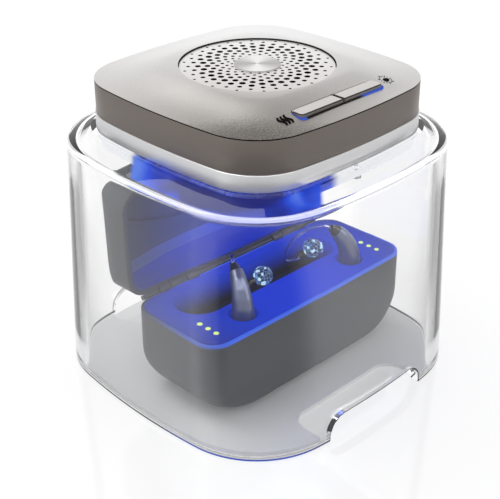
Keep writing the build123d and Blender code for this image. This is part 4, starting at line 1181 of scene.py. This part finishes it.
def buildArchShadeLines():
    # thin dark line round both finger arches, on the outer skin: painted shade
    half, top, r = hood["archHalf"], hood["archHeight"], hood["archCorner"]
    straight = (top - r) * edges["archStraight"]
    arch = [(-half, edges["archLow"]), (-half, straight)]
    for side, start in ((-1, 180), (1, 90)):
        for step in range(edges["archSteps"] + 1):
            a = math.radians(start - 90 * step / edges["archSteps"])
            arch.append((side * (half - r) + r * math.cos(a), top - r + r * math.sin(a)))
    arch += [(half, straight), (half, edges["archLow"])]
    skin = hoodOutline(hood["footHalf"])
    routes = []
    for side in (-1, 1):
        wall = [p for p in skin if p.y * side > 0]
        route = []
        for x, z in arch:
            near = min(wall, key=lambda p: abs(p.x - x))
            route.append((x, side * (abs(near.y) - edges["wallLean"] * z - edges["sink"]), z))
        routes.append(route)
    tubePiece("archShadeLines", routes, edges["archLineRadius"], finishes["paintedEdgeShade"])


buildCase()
growTray(bpy.data.objects["smooth_case_tray"])
buildHinge()
buildEarDomes()
buildFootShadeLine()
buildArchShadeLines()
print("case built")

# pieces inside, in their own finishes
dressed = {
    "clamp_screws": "steel", "button_switches": "blackPlastic", "control_board": "board",
    "fan_screws": "steel", "fan_bearing": "brass", "fan_stator": "fins", "fan_shaft": "steel",
    "heater_core": "fins", "heater_frame": "holderPlastic", "thermal_cutout": "white", "light_board": "board",
    "light_emitters": "emitter", "outlet_screws": "steel", "power_inlet": "steel", "inlet_board": "board",
    "case_board": "board", "case_cell": "fins", "charge_contacts": "brass",
}
for node, finish in dressed.items():
    dress(node, finishes[finish])
print("pieces dressed")

# floor, light and camera; flags are dark patches painted on the floor in place of black cards, seen only by
# gloss and clear pieces
table = {
    "size": 3.0, "hoodReach": 0.0605, "hoodPower": 3.4, "hoodShade": 0.41, "black": (0.02, 0.02, 0.025),
    "plain": (0.80, 0.80, 0.80, 1), "dim": (0.20, 0.20, 0.20, 1), "glow": 0.74,
    "mirror": (0.10, 0.10, 0.10, 1), "mirrorRough": 0.06,
}
paintedFlags = [
    {"at": (-0.140, -0.140, 0.0), "near": 0.090, "far": 0.170, "amount": 0.97, "ray": "Is Glossy Ray"},
    {"at": (-0.130, 0.190, 0.0), "near": 0.090, "far": 0.150, "amount": 0.75, "ray": "Is Transmission Ray"},
    {"at": (0.190, -0.130, 0.0), "near": 0.090, "far": 0.150, "amount": 0.75, "ray": "Is Transmission Ray"},
]


def insideHood(tree, place):
    # 1 on the table under the hood, by a rounded square's measure
    size = addNode(tree, "ShaderNodeVectorMath", (-1750, 900), {0: place}, operation="ABSOLUTE").outputs[0]
    share = scaleOf(tree, size, 1 / table["hoodReach"], at=(-1600, 900))
    split = addNode(tree, "ShaderNodeSeparateXYZ", (-1450, 900), {0: share}).outputs
    acrossPower = mathOf(tree, "POWER", split["X"], table["hoodPower"], at=(-1300, 900))
    alongPower = mathOf(tree, "POWER", split["Y"], table["hoodPower"], at=(-1300, 750))
    total = mathOf(tree, "ADD", acrossPower, alongPower, at=(-1150, 900))
    return mathOf(tree, "LESS_THAN", total, 1.0, at=(-1000, 900))


def floorTone(tree, path):
    # painted reflection and shadow: darkened where the flags are, and a painted shadow under the hood as
    # clear pieces see it
    place = placeOf(tree, (-1900, 0))
    under = mathOf(tree, "MULTIPLY", insideHood(tree, place), path["Is Transmission Ray"], at=(-900, 300))
    dark = mathOf(tree, "MULTIPLY", under, table["hoodShade"], at=(-750, 300))
    for index, flag in enumerate(paintedFlags):
        y = -260 * index
        apart = apartOf(tree, place, flag["at"], at=(-1700, y))
        fall = mapOf(tree, apart, flag["near"], flag["far"], flag["amount"], 0.0, at=(-1500, y))
        seen = mathOf(tree, "MULTIPLY", fall, path[flag["ray"]], at=(-1300, y))
        dark = mathOf(tree, "MAXIMUM", dark, seen, at=(-1100, y))
    return blendOf(tree, dark, (1.0, 1.0, 1.0), table["black"], at=(-500, -200))


def floorFinish():
    # reads as white to the camera, keeps shadows and a faint mirror image
    material, tree, shader = newMaterial("studioFloor")
    tree.nodes.remove(shader)
    path = addNode(tree, "ShaderNodeLightPath", (-200, 500)).outputs
    tone = floorTone(tree, path)
    plain = addNode(tree, "ShaderNodeBsdfDiffuse", (-200, 200), {"Color": table["plain"]})
    dim = addNode(tree, "ShaderNodeBsdfDiffuse", (-200, 0), {"Color": table["dim"]})
    glow = addNode(tree, "ShaderNodeEmission", (-200, -150), {"Color": tone, "Strength": table["glow"]})
    mirror = addNode(tree, "ShaderNodeBsdfGlossy", (-200, -320), {
        "Color": table["mirror"], "Roughness": table["mirrorRough"]})
    first = addNode(tree, "ShaderNodeAddShader", (50, -50), {0: dim.outputs[0], 1: glow.outputs[0]})
    second = addNode(tree, "ShaderNodeAddShader", (220, -120), {0: first.outputs[0], 1: mirror.outputs[0]})
    seen = mathOf(tree, "MAXIMUM", path["Is Camera Ray"], path["Is Glossy Ray"], at=(60, 420))
    seenToo = mathOf(tree, "MAXIMUM", seen, path["Is Transmission Ray"], at=(230, 420))
    mix = addNode(tree, "ShaderNodeMixShader", (420, 100), {
        0: seenToo, 1: plain.outputs[0], 2: second.outputs[0]})
    feed(tree, nodeOf(tree, "OUTPUT_MATERIAL"), {"Surface": mix.outputs[0]})
    return material


def buildFloor():
    bm = bmesh.new()
    bmesh.ops.create_grid(bm, x_segments=1, y_segments=1, size=table["size"])
    bareObject(bm, "studioFloor", floorFinish())


studio = {
    "tones": [(0.0, 1.0), (0.50, 1.0), (0.72, 0.92), (0.86, 0.5), (1.0, 0.36)],
    "strip": [(0.0, 0.0), (0.74, 0.0), (0.80, 1.0), (0.93, 1.0), (0.96, 0.0)],
    "stripSide": (-0.05, 0.15), "stripGain": 7.0, "soft": 0.55,
}


def buildWorld():
    # white to the eye; a soft studio that darkens overhead to gloss and clear pieces
    world = bpy.data.worlds.new("studio")
    bpy.context.scene.world = world
    world.use_nodes = True
    tree = world.node_tree
    tree.nodes.clear()
    output = addNode(tree, "ShaderNodeOutputWorld", (700, 0))
    place = addNode(tree, "ShaderNodeTexCoord", (-900, 0)).outputs["Generated"]
    height = mapOf(tree, heightOf(tree, place, at=(-720, 0)), -1.0, 1.0, kind="LINEAR", at=(-650, -200))
    tone = rampOf(tree, height, [(at, (v, v, v * 1.01)) for at, v in studio["tones"]], at=(-500, 0))
    strip = rampOf(tree, height, [(at, (v, v, v)) for at, v in studio["strip"]], at=(-500, -350))
    nearSide = reachOf(tree, place, tuple(-v for v in awayFromView), at=(-700, -600))
    sideMask = mapOf(tree, nearSide, *studio["stripSide"], kind="LINEAR", at=(-500, -600))
    stripMask = mathOf(tree, "MULTIPLY", strip, sideMask, at=(-300, -450))
    lift = addNode(tree, "ShaderNodeMath", (-200, -600), {0: stripMask, 1: studio["stripGain"], 2: 1.0},
                   operation="MULTIPLY_ADD")
    lit = addNode(tree, "ShaderNodeBackground", (-200, 0), {"Color": tone, "Strength": lift.outputs[0]})
    soft = addNode(tree, "ShaderNodeBackground", (-200, -200), {
        "Color": (1, 1, 1, 1), "Strength": studio["soft"]})
    white = addNode(tree, "ShaderNodeBackground", (-200, 200))
    path = addNode(tree, "ShaderNodeLightPath", (-200, 600)).outputs
    bent = mathOf(tree, "MAXIMUM", path["Is Glossy Ray"], path["Is Transmission Ray"], at=(60, 500))
    first = addNode(tree, "ShaderNodeMixShader", (250, 0), {0: bent, 1: soft.outputs[0], 2: lit.outputs[0]})
    second = addNode(tree, "ShaderNodeMixShader", (450, 0), {
        0: path["Is Camera Ray"], 1: first.outputs[0], 2: white.outputs[0]})
    feed(tree, output, {"Surface": second.outputs[0]})


lamps = {
    "overhead": {"at": (-0.15, 0.35, 0.95), "to": (0, 0, 0.05), "size": 0.9, "power": 5.0},
    "leftWindow": {"at": (-0.95, 0.25, 0.45), "to": (0, 0, 0.06), "size": 0.6, "power": 1.9},
    "rightWindow": {"at": (0.55, -0.80, 0.40), "to": (0, 0, 0.06), "size": 0.6, "power": 2.6,
                    "inGloss": False},
    "blueRing": {"at": (0, 0, 0.0885), "to": (0, 0, 0), "size": 0.06, "power": 0.012,
                 "colour": (0.05, 0.15, 1.0), "body": "hood"},
}
mainView = {"at": (-0.26941, -0.27046, 0.25806), "to": (0, 0, 0.0589), "lens": 79.48,
            "shift": (-0.0146, -0.0644)}


def aim(holder, at, to):
    holder.location = at
    holder.rotation_euler = (Vector(to) - Vector(at)).to_track_quat("-Z", "Y").to_euler()
    bpy.context.scene.collection.objects.link(holder)


def addLamp(name, at, to, size, power, colour=(1, 1, 1), inGloss=True, body=None):
    data = bpy.data.lights.new(name, "AREA")
    data.shape = "DISK"
    data.size = size
    data.energy = power
    data.color = colour
    lamp = bpy.data.objects.new(name, data)
    lamp.visible_glossy = inGloss
    aim(lamp, at, to)
    if body:
        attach(lamp, body)


def buildCamera():
    data = bpy.data.cameras.new("mainView")
    data.sensor_width = 36.0
    data.lens = mainView["lens"]
    data.shift_x, data.shift_y = mainView["shift"]
    data.clip_start = 0.01
    camera = bpy.data.objects.new("mainView", data)
    aim(camera, mainView["at"], mainView["to"])
    bpy.context.scene.camera = camera


buildFloor()
buildWorld()
for name, values in lamps.items():
    addLamp(name, **values)
buildCamera()
bpy.context.scene.view_settings.view_transform = "Standard"
print("studio ready")
